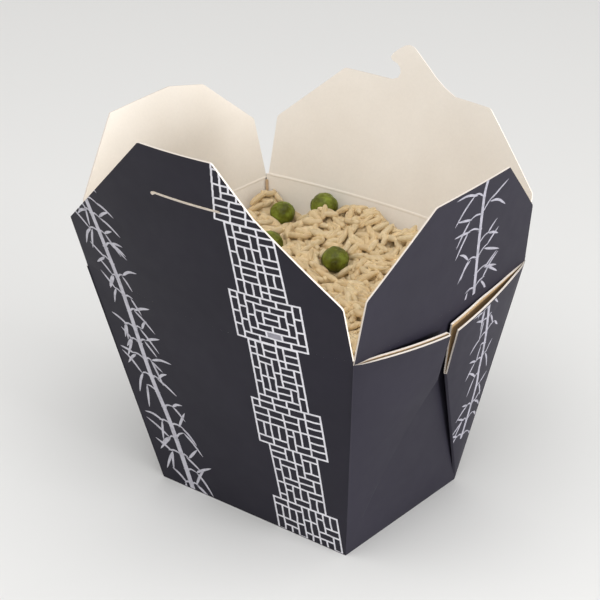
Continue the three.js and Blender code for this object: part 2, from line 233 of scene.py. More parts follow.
# The locking slit in the front flap, with its small hooked end, and the tab of the back flap.
SLIT_OUTLINE = millimetres(
    (-23.2, 54.6), (-22, 54.1), (4.8, 54.1), (5.6, 53.6), (6.3, 53.3), (6.9, 53.7), (6.4, 54.6),
    (5.2, 55.1), (-22, 55.1))
TAB_OUTLINE = millimetres(
    (-12.1, 46.1), (-9.4, 47.2), (-8.7, 49.1), (-9.1, 50.9), (-10.6, 52.2), (-13.2, 53.0),
    (-14.0, 54.0), (-13.2, 55.5), (-10.6, 57.9), (-8.6, 59.3), (-7.0, 59.9), (-5.0, 59.6),
    (-3.5, 58.7), (6.9, 50.9), (11.5, 48.2), (16.6, 46.1))


# ------------------------------------------------------------------ materials


class NodeDesk:
    """Short ways to add and link a material's nodes."""

    def __init__(self, name: str) -> None:
        """Starts a material with only a Principled BSDF.

        Args:
            name: The material's name.
        """
        self.material = bpy.data.materials.new(name)
        self.material.use_nodes = True
        self.tree = self.material.node_tree
        self.shader = self.tree.nodes["Principled BSDF"]
        self.place = self.node("ShaderNodeTexCoord").outputs["Object"]

    def node(self, kind: str, **values: object) -> bpy.types.Node:
        """Adds a node and sets its properties.

        Args:
            kind: The node's type.
            values: Its properties by name.

        Returns:
            The new node.
        """
        made = self.tree.nodes.new(kind)
        for key, value in values.items():
            setattr(made, key, value)
        return made

    def link(self, source: bpy.types.NodeSocket, target: bpy.types.NodeSocket) -> None:
        """Links two sockets."""
        self.tree.links.new(source, target)

    def noise(self, scale: float, detail: float = 3.0, rough: float = 0.5) -> bpy.types.NodeSocket:
        """A noise pattern in object space.

        Args:
            scale: Patches per metre.
            detail: Octaves of the noise.
            rough: Strength of the finer octaves.

        Returns:
            The noise's value socket.
        """
        pattern = self.node("ShaderNodeTexNoise")
        pattern.inputs["Scale"].default_value = scale
        pattern.inputs["Detail"].default_value = detail
        pattern.inputs["Roughness"].default_value = rough
        self.link(self.place, pattern.inputs["Vector"])
        return pattern.outputs["Fac"]

    def ramp(self, value: bpy.types.NodeSocket,
             stops: Sequence[tuple[float, Sequence[float]]]) -> bpy.types.NodeSocket:
        """A colour ramp over a value.

        Args:
            value: The socket that drives the ramp.
            stops: Places from 0 to 1, each with its linear colour.

        Returns:
            The ramp's colour socket.
        """
        ramp = self.node("ShaderNodeValToRGB")
        elements = ramp.color_ramp.elements
        while len(elements) < len(stops):
            elements.new(0.5)
        for element, (place, colour) in zip(elements, stops):
            element.position = place
            element.color = (*colour, 1.0)
        self.link(value, ramp.inputs["Fac"])
        return ramp.outputs["Color"]

    def mix(self, factor: bpy.types.NodeSocket | float, a: object, b: object,
            blend: str = "MIX") -> bpy.types.NodeSocket:
        """Mixes two colours, each a socket or a linear colour.

        Args:
            factor: The share of b, as a socket or a number.
            a: First colour.
            b: Second colour.
            blend: The mix node's blend type.

        Returns:
            The mixed colour socket.
        """
        mixer = self.node("ShaderNodeMix", data_type="RGBA", blend_type=blend)
        for key, value in ((0, factor), (6, a), (7, b)):
            if isinstance(value, bpy.types.NodeSocket):
                self.link(value, mixer.inputs[key])
            elif key == 0:
                mixer.inputs[key].default_value = value
            else:
                mixer.inputs[key].default_value = (*value, 1.0)
        return mixer.outputs[2]

    def span(self, value: bpy.types.NodeSocket, low: float, high: float) -> bpy.types.NodeSocket:
        """Maps a value's 0 to 1 onto low to high.

        Args:
            value: The socket that drives the result.
            low: The result at 0.
            high: The result at 1.

        Returns:
            The result's socket.
        """
        mapper = self.node("ShaderNodeMapRange")
        mapper.inputs["To Min"].default_value = low
        mapper.inputs["To Max"].default_value = high
        self.link(value, mapper.inputs["Value"])
        return mapper.outputs["Result"]

    def bump(self, height: bpy.types.NodeSocket, strength: float, distance: float) -> None:
        """Adds fine relief to the shader's normal.

        Args:
            height: The socket that holds the relief.
            strength: Share of the relief that shows.
            distance: The relief's full height.
        """
        relief = self.node("ShaderNodeBump")
        relief.inputs["Strength"].default_value = strength
        relief.inputs["Distance"].default_value = distance
        self.link(height, relief.inputs["Height"])
        self.link(relief.outputs["Normal"], self.shader.inputs["Normal"])

    def colour(self, socket: bpy.types.NodeSocket) -> None:
        """Sets the shader's base colour."""
        self.link(socket, self.shader.inputs["Base Color"])

    def set(self, **values: object) -> None:
        """Sets constants on the shader's own sockets, with _ for a space in their names."""
        for key, value in values.items():
            self.shader.inputs[key.replace("_", " ")].default_value = value


@dataclass(frozen=True)
class BoardFinish:
    """Coated paperboard: a soft colour with faint fibres and clouding."""

    name: str
    dark: Sequence[float]
    light: Sequence[float]
    roughness: tuple[float, float]
    specular: float
    fibre: float

    def make(self) -> bpy.types.Material:
        """Builds the material.

        Returns:
            The material.
        """
        desk = NodeDesk(self.name)
        clouds = desk.noise(28, 4, 0.55)
        fibres = desk.noise(900, 3, 0.6)
        base = desk.ramp(clouds, [(0.3, self.dark), (0.7, self.light)])
        tint = desk.ramp(fibres, [(0.25, (0.965, 0.965, 0.965)), (0.75, (1.0, 1.0, 1.0))])
        desk.colour(desk.mix(1.0, base, tint, "MULTIPLY"))
        desk.link(desk.span(desk.noise(160, 3), *self.roughness), desk.shader.inputs["Roughness"])
        desk.bump(fibres, self.fibre, 0.08 * MM)
        desk.set(Specular_IOR_Level=self.specular)
        return desk.material


@dataclass(frozen=True)
class InkFinish:
    """Pale ink on the dark board, laid a little unevenly."""

    name: str
    thin: Sequence[float]
    full: Sequence[float]

    def make(self) -> bpy.types.Material:
        """Builds the material.

        Returns:
            The material.
        """
        desk = NodeDesk(self.name)
        coverage = desk.noise(420, 4, 0.65)
        desk.colour(desk.ramp(coverage, [(0.32, self.thin), (0.55, self.full)]))
        desk.bump(desk.noise(900, 2), 0.15, 0.05 * MM)
        desk.set(Roughness=0.55, Specular_IOR_Level=0.35)
        return desk.material


@dataclass(frozen=True)
class RiceFinish:
    """Cooked rice: soft cream grains that let some light through, each a little different."""

    name: str
    warm: Sequence[float]
    pale: Sequence[float]

    def make(self) -> bpy.types.Material:
        """Builds the material. Grains carry their own tone in the attribute "tone".

        Returns:
            The material.
        """
        desk = NodeDesk(self.name)
        tone = desk.node("ShaderNodeAttribute", attribute_name="tone")
        base = desk.ramp(tone.outputs["Fac"], [(0.0, self.warm), (1.0, self.pale)])
        streaks = desk.noise(650, 3, 0.6)
        tint = desk.ramp(streaks, [(0.3, (0.88, 0.85, 0.78)), (0.65, (1.0, 1.0, 1.0))])
        desk.colour(desk.mix(1.0, base, tint, "MULTIPLY"))
        desk.bump(desk.noise(1100, 2), 0.15, 0.1 * MM)
        desk.shader.subsurface_method = "BURLEY"
        desk.set(Roughness=0.5, Specular_IOR_Level=0.25, Subsurface_Weight=0.8,
                 Subsurface_Scale=2.5 * MM, Subsurface_Radius=(1.0, 0.95, 0.85))
        return desk.material


@dataclass(frozen=True)
class PeaFinish:
    """The skin of a cooked pea: mottled green with a soft gloss."""

    name: str
    deep: Sequence[float]
    middle: Sequence[float]
    bright: Sequence[float]

    def make(self) -> bpy.types.Material:
        """Builds the material.

        Returns:
            The material.
        """
        desk = NodeDesk(self.name)
        mottling = desk.noise(210, 4, 0.6)
        desk.colour(desk.ramp(mottling, [(0.3, self.deep), (0.5, self.middle), (0.72, self.bright)]))
        desk.bump(desk.noise(900, 3), 0.2, 0.15 * MM)
        desk.set(Roughness=0.42, Specular_IOR_Level=0.22, Subsurface_Weight=0.15,
                 Subsurface_Scale=1.5 * MM, Subsurface_Radius=(0.6, 1.0, 0.3))
        return desk.material


@dataclass(frozen=True)
class FloorFinish:
    """A plain pale floor."""

    name: str
    tone: Sequence[float]

    def make(self) -> bpy.types.Material:
        """Builds the material.

        Returns:
            The material.
        """
        desk = NodeDesk(self.name)
        soft = desk.noise(3, 2)
        low = tuple(0.985 * c for c in self.tone)
        desk.colour(desk.ramp(soft, [(0.3, low), (0.7, self.tone)]))
        desk.set(Roughness=0.8, Specular_IOR_Level=0.2)
        return desk.material


Finish = BoardFinish | InkFinish | RiceFinish | PeaFinish | FloorFinish


def finished(finish: Finish) -> bpy.types.Material:
    """A palette's field whose material is made with the palette."""
    return field(default_factory=finish.make)


@dataclass
class Palette:
    """Every material of the scene, made once. Colours are linear, from the darker to the lighter."""

    outside: bpy.types.Material = finished(BoardFinish(
        "board_outside", (0.0165, 0.0150, 0.0235), (0.0205, 0.0185, 0.029), (0.48, 0.60), 0.15, 0.12))
    inside: bpy.types.Material = finished(BoardFinish(
        "board_inside", (0.80, 0.745, 0.67), (0.86, 0.81, 0.74), (0.55, 0.68), 0.3, 0.2))
    edge: bpy.types.Material = finished(BoardFinish(
        "board_edge", (0.68, 0.61, 0.54), (0.80, 0.74, 0.68), (0.75, 0.88), 0.2, 0.5))
    # Brown for the unlit inner faces between a web's two layers: painted shade.
    fold: bpy.types.Material = finished(BoardFinish(
        "board_fold_shade", (0.36, 0.24, 0.12), (0.46, 0.32, 0.18), (0.6, 0.7), 0.2, 0.2))
    # Brown for the strips of painted shade in the walls' inner corners.
    corner_shade: bpy.types.Material = finished(BoardFinish(
        "board_corner_shade", (0.50, 0.36, 0.22), (0.60, 0.45, 0.30), (0.6, 0.7), 0.2, 0.2))
    bead: bpy.types.Material = finished(BoardFinish(
        "board_crease", (0.84, 0.78, 0.70), (0.9, 0.84, 0.76), (0.5, 0.62), 0.3, 0.2))
    white: bpy.types.Material = finished(InkFinish("ink_white", (0.62, 0.61, 0.66), (0.80, 0.79, 0.84)))
    silver: bpy.types.Material = finished(InkFinish("ink_silver", (0.40, 0.39, 0.44), (0.56, 0.55, 0.61)))
    grey: bpy.types.Material = finished(InkFinish("ink_grey", (0.22, 0.22, 0.25), (0.33, 0.32, 0.37)))
    grain: bpy.types.Material = finished(RiceFinish("rice_grain", (0.59, 0.45, 0.265), (0.63, 0.515, 0.335)))
    # The bed is a little lighter and warmer than the grains, as painted light that lifts the shade in the
    # gaps between them.
    bed: bpy.types.Material = finished(RiceFinish("rice_bed", (0.62, 0.475, 0.275), (0.66, 0.53, 0.325)))
    pea: bpy.types.Material = finished(PeaFinish(
        "pea_skin", (0.050, 0.048, 0.005), (0.115, 0.130, 0.010), (0.23, 0.28, 0.035)))
    floor: bpy.types.Material = finished(FloorFinish("floor_pale", (0.80, 0.80, 0.79)))


# ------------------------------------------------------------------ sheets of board and of ink


def put(name: str, data: bpy.types.ID) -> bpy.types.Object:
    """Adds an untransformed object for a mesh, a camera or a light to the scene.

    Args:
        name: The object's name.
        data: Its mesh, camera or light.

    Returns:
        The object.
    """
    added = bpy.data.objects.new(name, data)
    bpy.context.scene.collection.objects.link(added)
    return added


def register(mesh: bmesh.types.BMesh, name: str, materials: Sequence[bpy.types.Material],
             smooth: float | None = 35.0) -> bpy.types.Object:
    """Turns a finished bmesh into an object of the scene.

    Args:
        mesh: The finished shape, in the box's frame. It is freed.
        name: The piece's name.
        materials: Its material slots.
        smooth: Angle in degrees over which edges stay sharp, or None for flat faces.

    Returns:
        The new object, which rides on nothing yet.
    """
    data = bpy.data.meshes.new(name)
    if smooth is not None:
        for face in mesh.faces:
            face.smooth = True
        for edge in mesh.edges:
            if len(edge.link_faces) == 2:
                edge.smooth = edge.calc_face_angle(0.0) < math.radians(smooth)
    mesh.to_mesh(data)
    mesh.free()
    for material in materials:
        data.materials.append(material)
    piece = put(name, data)
    LOG.info("%s: %d faces", name, len(data.polygons))
    return piece


def board_slots(palette: Palette) -> list[bpy.types.Material]:
    """The materials of a sheet of board, in the order of Face."""
    return [palette.outside, palette.inside, palette.edge]


def extruded(mesh: bmesh.types.BMesh) -> list[bmesh.types.BMVert]:
    """Extrudes all of a mesh's faces and returns the new vertices, which haven't moved yet."""
    raised = bmesh.ops.extrude_face_region(mesh, geom=mesh.faces[:])["geom"]
    return [item for item in raised if isinstance(item, bmesh.types.BMVert)]


class FlatSheet:
    """A sheet in its flat plane (x along, y up), cut there, thickened and then bent to its place."""

    def __init__(self, low: Point2, high: Point2, cell: float = CELL,
                 steps: tuple[int, int] | None = None) -> None:
        """Starts a grid of faces.

        Args:
            low: Its lower left corner.
            high: Its upper right corner.
            cell: About how wide a face is, where steps doesn't say how many there are.
            steps: The faces along and up.
        """
        size = (high[0] - low[0], high[1] - low[1])
        along, up = steps or [max(1, round(length / cell)) for length in size]
        self.mesh = bmesh.new()
        bmesh.ops.create_grid(self.mesh, x_segments=along, y_segments=up, size=0.5)
        bmesh.ops.scale(self.mesh, vec=(size[0], size[1], 1), verts=self.mesh.verts)
        middle = ((low[0] + high[0]) / 2, (low[1] + high[1]) / 2, 0)
        bmesh.ops.translate(self.mesh, vec=middle, verts=self.mesh.verts)

    def thicken(self, thickness: float) -> None:
        """Extrudes the sheet from z 0 to z thickness and sets each face's kind.

        Args:
            thickness: Thickness of the sheet.
        """
        bmesh.ops.translate(self.mesh, vec=(0, 0, thickness), verts=extruded(self.mesh))
        self.mesh.normal_update()
        for face in self.mesh.faces:
            flat = abs(face.normal.z) > 0.5
            low = face.calc_center_median().z < thickness / 2
            kind = Face.EDGE if not flat else Face.OUTSIDE if low else Face.INSIDE
            face.material_index = kind.value

    def bend(self, mapping: Mapping) -> None:
        """Moves each vertex from (along, up, depth) to its place and turns the faces outwards.

        Args:
            mapping: From (along, up, depth) to the box's frame.
        """
        for vert in self.mesh.verts:
            vert.co = mapping(*vert.co)
        bmesh.ops.remove_doubles(self.mesh, verts=self.mesh.verts, dist=1e-6)
        bmesh.ops.recalc_face_normals(self.mesh, faces=self.mesh.faces)


def cut_mesh(mesh: bmesh.types.BMesh, a: Point2, b: Point2, margin: float = CELL) -> None:
    """Cuts a flat mesh's faces near the line from a to b along it.

    Args:
        mesh: The flat mesh, which is changed.
        a: The line's start.
        b: The line's end.
        margin: How far from the line faces are still cut.
    """
    low = (min(a[0], b[0]) - margin, min(a[1], b[1]) - margin)
    high = (max(a[0], b[0]) + margin, max(a[1], b[1]) + margin)
    near = []
    for face in mesh.faces:
        middle = face.calc_center_median()
        if low[0] <= middle.x <= high[0] and low[1] <= middle.y <= high[1]:
            near.append(face)
    edges = dict.fromkeys(edge for face in near for edge in face.edges)
    verts = dict.fromkeys(vert for face in near for vert in face.verts)
    normal = (a[1] - b[1], b[0] - a[0], 0)
    bmesh.ops.bisect_plane(mesh, geom=[*near, *edges, *verts], plane_co=(*a, 0),
                           plane_no=normal, dist=1e-7)


def trim(mesh: bmesh.types.BMesh, outline: Sequence[Point2], keep_inside: bool = True) -> None:
    """Cuts a flat mesh along a closed outline and drops one side of it.

    Args:
        mesh: The flat mesh, which is changed.
        outline: The outline's corners.
        keep_inside: Whether the inside is kept.
    """
    for a, b in zip(outline, [*outline[1:], outline[0]]):
        cut_mesh(mesh, a, b)
    doomed = [face for face in mesh.faces
              if inside(outline, face.calc_center_median().xy) != keep_inside]
    bmesh.ops.delete(mesh, geom=doomed, context="FACES")


def cut_slit_and_rows(mesh: bmesh.types.BMesh, panel: Panel) -> None:
    """Cuts the front flap's slit and, just above the crease, rows across the mesh.

    Args:
        mesh: The flat mesh of a flap's board or print, which is changed.
        panel: The panel that it belongs to.
    """
    if panel.side is Side.FRONT:
        trim(mesh, SLIT_OUTLINE, keep_inside=False)
    for row in range(BLEND_ROWS):
        cut_mesh(mesh, (-BLEND_SPAN, row * BLEND_ROW), (BLEND_SPAN, row * BLEND_ROW))


def inside(outline: Sequence[Point2], point: Sequence[float]) -> bool:
    """Whether a point lies inside a closed outline.

    Args:
        outline: The outline's corners.
        point: The point, whose x and y count.

    Returns:
        True where it does.
    """
    found = False
    for (x0, y0), (x1, y1) in zip(outline, [*outline[1:], outline[0]]):
        crosses = (y0 > point[1]) != (y1 > point[1])
        if crosses and point[0] < x0 + (point[1] - y0) * (x1 - x0) / (y1 - y0):
            found = not found
    return found


def rounded(outline: Sequence[Point2], radius: float, steps: int = 4) -> list[Point2]:
    """An outline with its corners rounded, but for the two on the crease (up 0).

    Args:
        outline: The sharp corners in order.
        radius: Distance from a corner at which its curve starts.
        steps: Points on each curve.

    Returns:
        The rounded outline.
    """
    count = len(outline)
    smooth: list[Point2] = []
    for i, corner in enumerate(outline):
        if corner[1] <= 0:
            smooth.append(corner)
            continue
        here = Vector(corner)
        before = Vector(outline[i - 1]) - here
        after = Vector(outline[(i + 1) % count]) - here
        reach = min(radius, before.length * 0.4, after.length * 0.4)
        start = here + before.normalized() * reach
        end = here + after.normalized() * reach
        for k in range(steps + 1):
            t = k / steps
            place = start * (1 - t) ** 2 + here * 2 * t * (1 - t) + end * t ** 2
            smooth.append((place.x, place.y))
    return smooth


# ------------------------------------------------------------------ the carton


@dataclass
class Carton:
    """The four walls with their base: the body of the box."""

    palette: Palette

    def build(self) -> None:
        """Builds the walls and the base and has them stand for the CAD carton."""
        walls = self.walls()
        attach(walls, "box")
        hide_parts("carton")
        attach(self.base(), "box")
        for panel in PANELS.values():
            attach(self.crease_bead(panel), "box")
            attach(self.corner_shade_strip(panel), "box")

    def walls(self) -> bpy.types.Object:
        """One wrap of board round the four sides, joined at the corners.

        Returns:
            The walls as one object.
        """
        whole = bmesh.new()
        for panel in PANELS.values():
            half = RIM_WIDTH / 2 if panel.faces_y else RIM_DEPTH / 2
            sheet = FlatSheet((-half, 0), (half, RIM_HEIGHT))
            sheet.thicken(BOARD)
            ends = [face for face in sheet.mesh.faces if abs(face.normal.x) > 0.5]
            bmesh.ops.delete(sheet.mesh, geom=ends, context="FACES_ONLY")
            for vert in sheet.mesh.verts:
                along, up, depth = vert.co
                share = along / half
                vert.co = panel.wall(share * panel.half_length(up / RIM_HEIGHT), up, depth)
            data = bpy.data.meshes.new("wall")
            sheet.mesh.to_mesh(data)
            sheet.mesh.free()
            whole.from_mesh(data)
            bpy.data.meshes.remove(data)
        bmesh.ops.remove_doubles(whole, verts=whole.verts, dist=0.02 * MM)
        bmesh.ops.recalc_face_normals(whole, faces=whole.faces)
        return register(whole, "carton_walls", board_slots(self.palette))

    def base(self) -> bpy.types.Object:
        """The base panel, a plate between the foot of the four walls.

        Returns:
            The base as an object.
        """
        half = (BASE_WIDTH / 2 - BOARD / 2, BASE_DEPTH / 2 - BOARD / 2)
        sheet = FlatSheet((-half[0], -half[1]), half, 8 * MM)
        sheet.thicken(BOARD)
        sheet.bend(lambda x, y, depth: Vector((x, y, depth)))
        return register(sheet.mesh, "carton_base", board_slots(self.palette))

    def crease_bead(self, panel: Panel) -> bpy.types.Object:
        """The raised bead that a crease leaves on the board's inside.

        Args:
            panel: The panel with the crease.

        Returns:
            The bead as an object.
        """
        width = 1.0 * MM
        height = 0.12 * MM
        sunk = 0.12 * MM
        sheet = FlatSheet((-panel.foot, -width / 2), (panel.foot, width / 2))
        across = [edge for edge in sheet.mesh.edges
                  if abs(edge.verts[0].co.x - edge.verts[1].co.x) < 1e-9]
        bmesh.ops.subdivide_edges(sheet.mesh, edges=across, cuts=3, use_grid_fill=True)
        sheet.thicken(height)

        def place(along: float, up: float, depth: float) -> Vector:
            """Rounds the bead's top and sinks its foot into the board."""
            crown = height * math.cos(math.pi * up / width) if depth > height / 2 else -sunk
            return panel.surface(along, up, BOARD + crown)

        sheet.bend(place)
        slots = [self.palette.bead] * len(Face)
        return register(sheet.mesh, f"crease_bead_{panel.name}", slots)

    def corner_shade_strip(self, panel: Panel) -> bpy.types.Object:
        """A strip of painted shade in the inner corner at one end of a panel, from the rice to the rim.

        Args:
            panel: The panel at whose end the corner is.

        Returns:
            The seam as an object.
        """
        width = 1.1 * MM
        below_rice = RICE_LEVEL - 9.5 * MM
        below_rim = panel.crease - 0.6 * MM
        sheet = FlatSheet((-width / 2, below_rice), (width / 2, below_rim), width / 4)
        sheet.thicken(0.3 * MM)

        def place(across: float, up: float, depth: float) -> Vector:
            """Lays the strip of painted shade over the corner, hollow in its middle.

            Args:
                across: Place across the seam.
                up: Height.
                depth: Height above the seam's foot.

            Returns:
                The point in the box's frame.
            """
            f = up / RIM_HEIGHT
            side = (panel.half_length(f) - BOARD, panel.reach(f) - BOARD)
            hollow = 0.12 * MM + depth * 0.7 + abs(across) * 0.55
            return panel.to_box(side[0] - hollow + across * 0.7, side[1] - hollow - across * 0.7, up)

        sheet.bend(place)
        slots = [self.palette.corner_shade] * len(Face)
        return register(sheet.mesh, f"corner_shade_strip_{panel.name}", slots)


@dataclass
class Web:
    """A corner's spare board, folded double and lying on the outside of a side wall.

    A place on it is given by a, from 0 at the corner to 1 at the free side, and b, from 0 at the
    foot over fold_share at the fold's end to 1 at the top.
    """

    palette: Palette
    panel: Panel
    end: int
    foot_up: float = 1 * MM
    fold_along: float = 2.7 * MM
    fold_up: float = 63 * MM
    tip_along: float = 2.3 * MM
    tip_up: float = 81.5 * MM
    corner_up: float = 64.5 * MM
    spring: float = 5.6 * MM
    fold_spring: float = 4.9 * MM
    opening: float = 2.2 * MM
    fold_opening: float = 0.25 * MM
    shoulder: tuple[float, float] = (0.25 * MM, 0.8 * MM)
    shoulder_width: float = 0.06
    tucked: float = 0.9 * BOARD
    inner_rise: float = 0.5
    columns: int = 32
    rows: int = 24
    fold_rows: int = 16

    @property
    def corner(self) -> Side:
        """The side whose corner with the side wall the web comes from."""
        return Side.BACK if (self.panel.side is Side.RIGHT) == (self.end > 0) else Side.FRONT

    @property
    def name(self) -> str:
        """The side wall and the corner that the web belongs to."""
        return f"{self.panel.name}_{self.corner.value}"

    @property
    def is_cut(self) -> bool:
        """Whether the fold is cut open at its top, as it is at the back."""
        return self.corner is Side.BACK

    @property
    def growth(self) -> float:
        """How late the web springs off the wall on its way up."""
        return 0.8 if self.is_cut else 2.6

    @property
    def fold_share(self) -> float:
        """The b of the fold's upper end."""
        return self.fold_rows / self.rows

    def parting_share(self, a: float) -> float:
        """Share of the opening at a: a cut web's layers part slowly, a whole one's soon but little."""
        return min(1.0, a * 1.6) if self.is_cut else 0.3 * min(1.0, a * 8)

    def row(self, b: float) -> tuple[float, float, float, float, float, float]:
        """The sizes of the web along one line from the corner to its free side.

        Args:
            b: The line's place.

        Returns:
            The corner's along and up, the free side's along and up, the spring off the wall and
            the parting of the two layers.
        """
        below = min(b / self.fold_share, 1.0)
        above = max(b - self.fold_share, 0.0) / (1 - self.fold_share)
        corner = lerp(lerp(self.foot_up, self.corner_up, below), self.panel.crease, above)
        free_along = lerp(lerp(-BASE_DEPTH / 2, -self.fold_along, below), -self.tip_along, above)
        free_up = lerp(lerp(self.foot_up, self.fold_up, below), self.tip_up, above)
        spring = self.fold_spring * below ** self.growth
        spring += (self.spring - self.fold_spring) * above
        opening = lerp(self.fold_opening * below ** 2, self.opening, above)
        return -self.panel.half_length(corner / RIM_HEIGHT), corner, free_along, free_up, spring, opening

    def place(self, a: float, b: float, depth_of: Callable[[float, float], float]) -> Vector:
        """A point of the web.

        Args:
            a: Its place from the corner to the free side.
            b: Its place from the foot to the top.
            depth_of: Its depth below the web's outer face, from the layers' thickness and parting.

        Returns:
            The point in the box's frame.
        """
        corner_along, corner_up, free_along, free_up, spring, opening = self.row(b)
        up = lerp(corner_up, free_up, a)
        along = lerp(corner_along, free_along, a)
        f = up / RIM_HEIGHT
        ledge = self.shoulder[0] + self.shoulder[1] * min(1.0, a / self.shoulder_width)
        lift = ledge * b ** 3 + spring * (1 - (1 - a) ** 2)
        room = max(0.0, lift - self.panel.swell(along, f))
        parting = opening * self.parting_share(a)
        squeeze = min(1.0, (room + self.tucked) / (2 * BOARD + parting))
        depth = depth_of(BOARD, parting) * squeeze
        rise = self.inner_rise * depth * b ** 4 * min(1.0, 4 * a)
        return self.panel.to_box(self.end * along, self.panel.reach(f) + lift - depth, up + rise)

    def bent(self, s: float, b: float, depth: float) -> Vector:
        """The bending of the flat, unfolded web.

        Args:
            s: From -1 at the corner over 0 at the fold to 1 where the lower layer ends.
            b: Its place from the foot to the top.
            depth: 0 on the dark face and BOARD on the cream one.

        Returns:
            The point in the box's frame.
        """
        gap = 2 / self.columns
        a = min(1.0, (1 - abs(s)) / (1 - gap))
        share = depth / BOARD
        if abs(s) < gap / 2:
            middle = self.place(1.0, b, lambda thick, parting: thick + parting / 2)
            return middle + self.panel.to_box(self.end * lerp(0.55 * MM, 0.05 * MM, share), 0, 0)
        if s < 0:
            return self.place(a, b, lambda thick, parting: thick * share)
        return self.place(a, b, lambda thick, parting: parting + thick * (2 - share))

    def on_face(self, along: float, up: float, depth: float) -> Vector:
        """A point of the web's outer face at a place along and up the side wall.

        Args:
            along: Place along the wall, negative towards the web's corner.
            up: Height.
            depth: Depth below the outer face.

        Returns:
            The point in the box's frame.
        """
        low, high = 0.0, 1.0
        a = 0.0
        for _ in range(24):
            b = (low + high) / 2
            corner_along, corner_up, free_along, free_up, *_ = self.row(b)
            a = (along - corner_along) / (free_along - corner_along)
            if lerp(corner_up, free_up, a) < up:
                low = b
            else:
                high = b
        return self.place(a, (low + high) / 2, lambda thick, parting: depth)

    def build(self) -> bpy.types.Object:
        """Builds the doubled sheet, open along its top and its cut edge.

        Returns:
            The web as an object.
        """
        sheet = FlatSheet((-1, 0), (1, 1), steps=(self.columns, self.rows))
        if self.is_cut:
            cut_edge = [face for face in sheet.mesh.faces
                        if abs(face.calc_center_median().x) < 2 / self.columns
                        and face.calc_center_median().y > self.fold_share]
            bmesh.ops.delete(sheet.mesh, geom=cut_edge, context="FACES")
        sheet.thicken(BOARD)
        for face in sheet.mesh.faces:
            if abs(face.calc_center_median().x) > 1 - 1e-6:
                face.material_index = Face.OUTSIDE.value
        sheet.bend(self.bent)
        # The inner faces between the two layers take the brown of painted shade.
        slots = [self.palette.outside, self.palette.fold, self.palette.edge]
        return register(sheet.mesh, f"web_{self.name}", slots)


# ------------------------------------------------------------------ lid flaps


@dataclass
class LidFlap:
    """A lid flap of board that bends at its crease."""

    palette: Palette
    panel: Panel
    corner_radius: float = 1.0 * MM

    def flat_outline(self) -> list[Point2]:
        """The flap's outline in the flat, with the tab where it has one.

        Returns:
            The outline's points.
        """
        outline = rounded(self.panel.flap_outline(), self.corner_radius)
        if self.panel.side is not Side.BACK:
            return outline
        top = max(y for _, y in outline)
        at = max(i for i, (x, y) in enumerate(outline) if x < 0 and y > top - 1e-6)
        return [*outline[:at + 1], *TAB_OUTLINE, *outline[at + 1:]]

    def build(self) -> bpy.types.Object:
        """Builds the flap, has it stand for its CAD node and tilts it out at its crease.

        Returns:
            The flap's board as an object.
        """
        panel = self.panel
        outline = self.flat_outline()
        low = (min(x for x, _ in outline), 0)
        high = (max(x for x, _ in outline), max(y for _, y in outline))
        sheet = FlatSheet(low, high)
        trim(sheet.mesh, outline)
        cut_slit_and_rows(sheet.mesh, panel)
        sheet.thicken(BOARD)
        sheet.bend(panel.flap)
        piece = register(sheet.mesh, f"flap_{panel.name}_board", board_slots(self.palette))
        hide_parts(f"flap_{panel.name}")
        blend_over_crease(piece, panel)
        return piece


def blend_over_crease(piece: bpy.types.Object, panel: Panel) -> None:
    """Bakes a piece's transform into its mesh."""
    panel.body
    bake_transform(piece)


# ------------------------------------------------------------------ print


class Ink(Enum):
    """The inks, as material slots."""

    WHITE = 0
    SILVER = 1
    GREY = 2


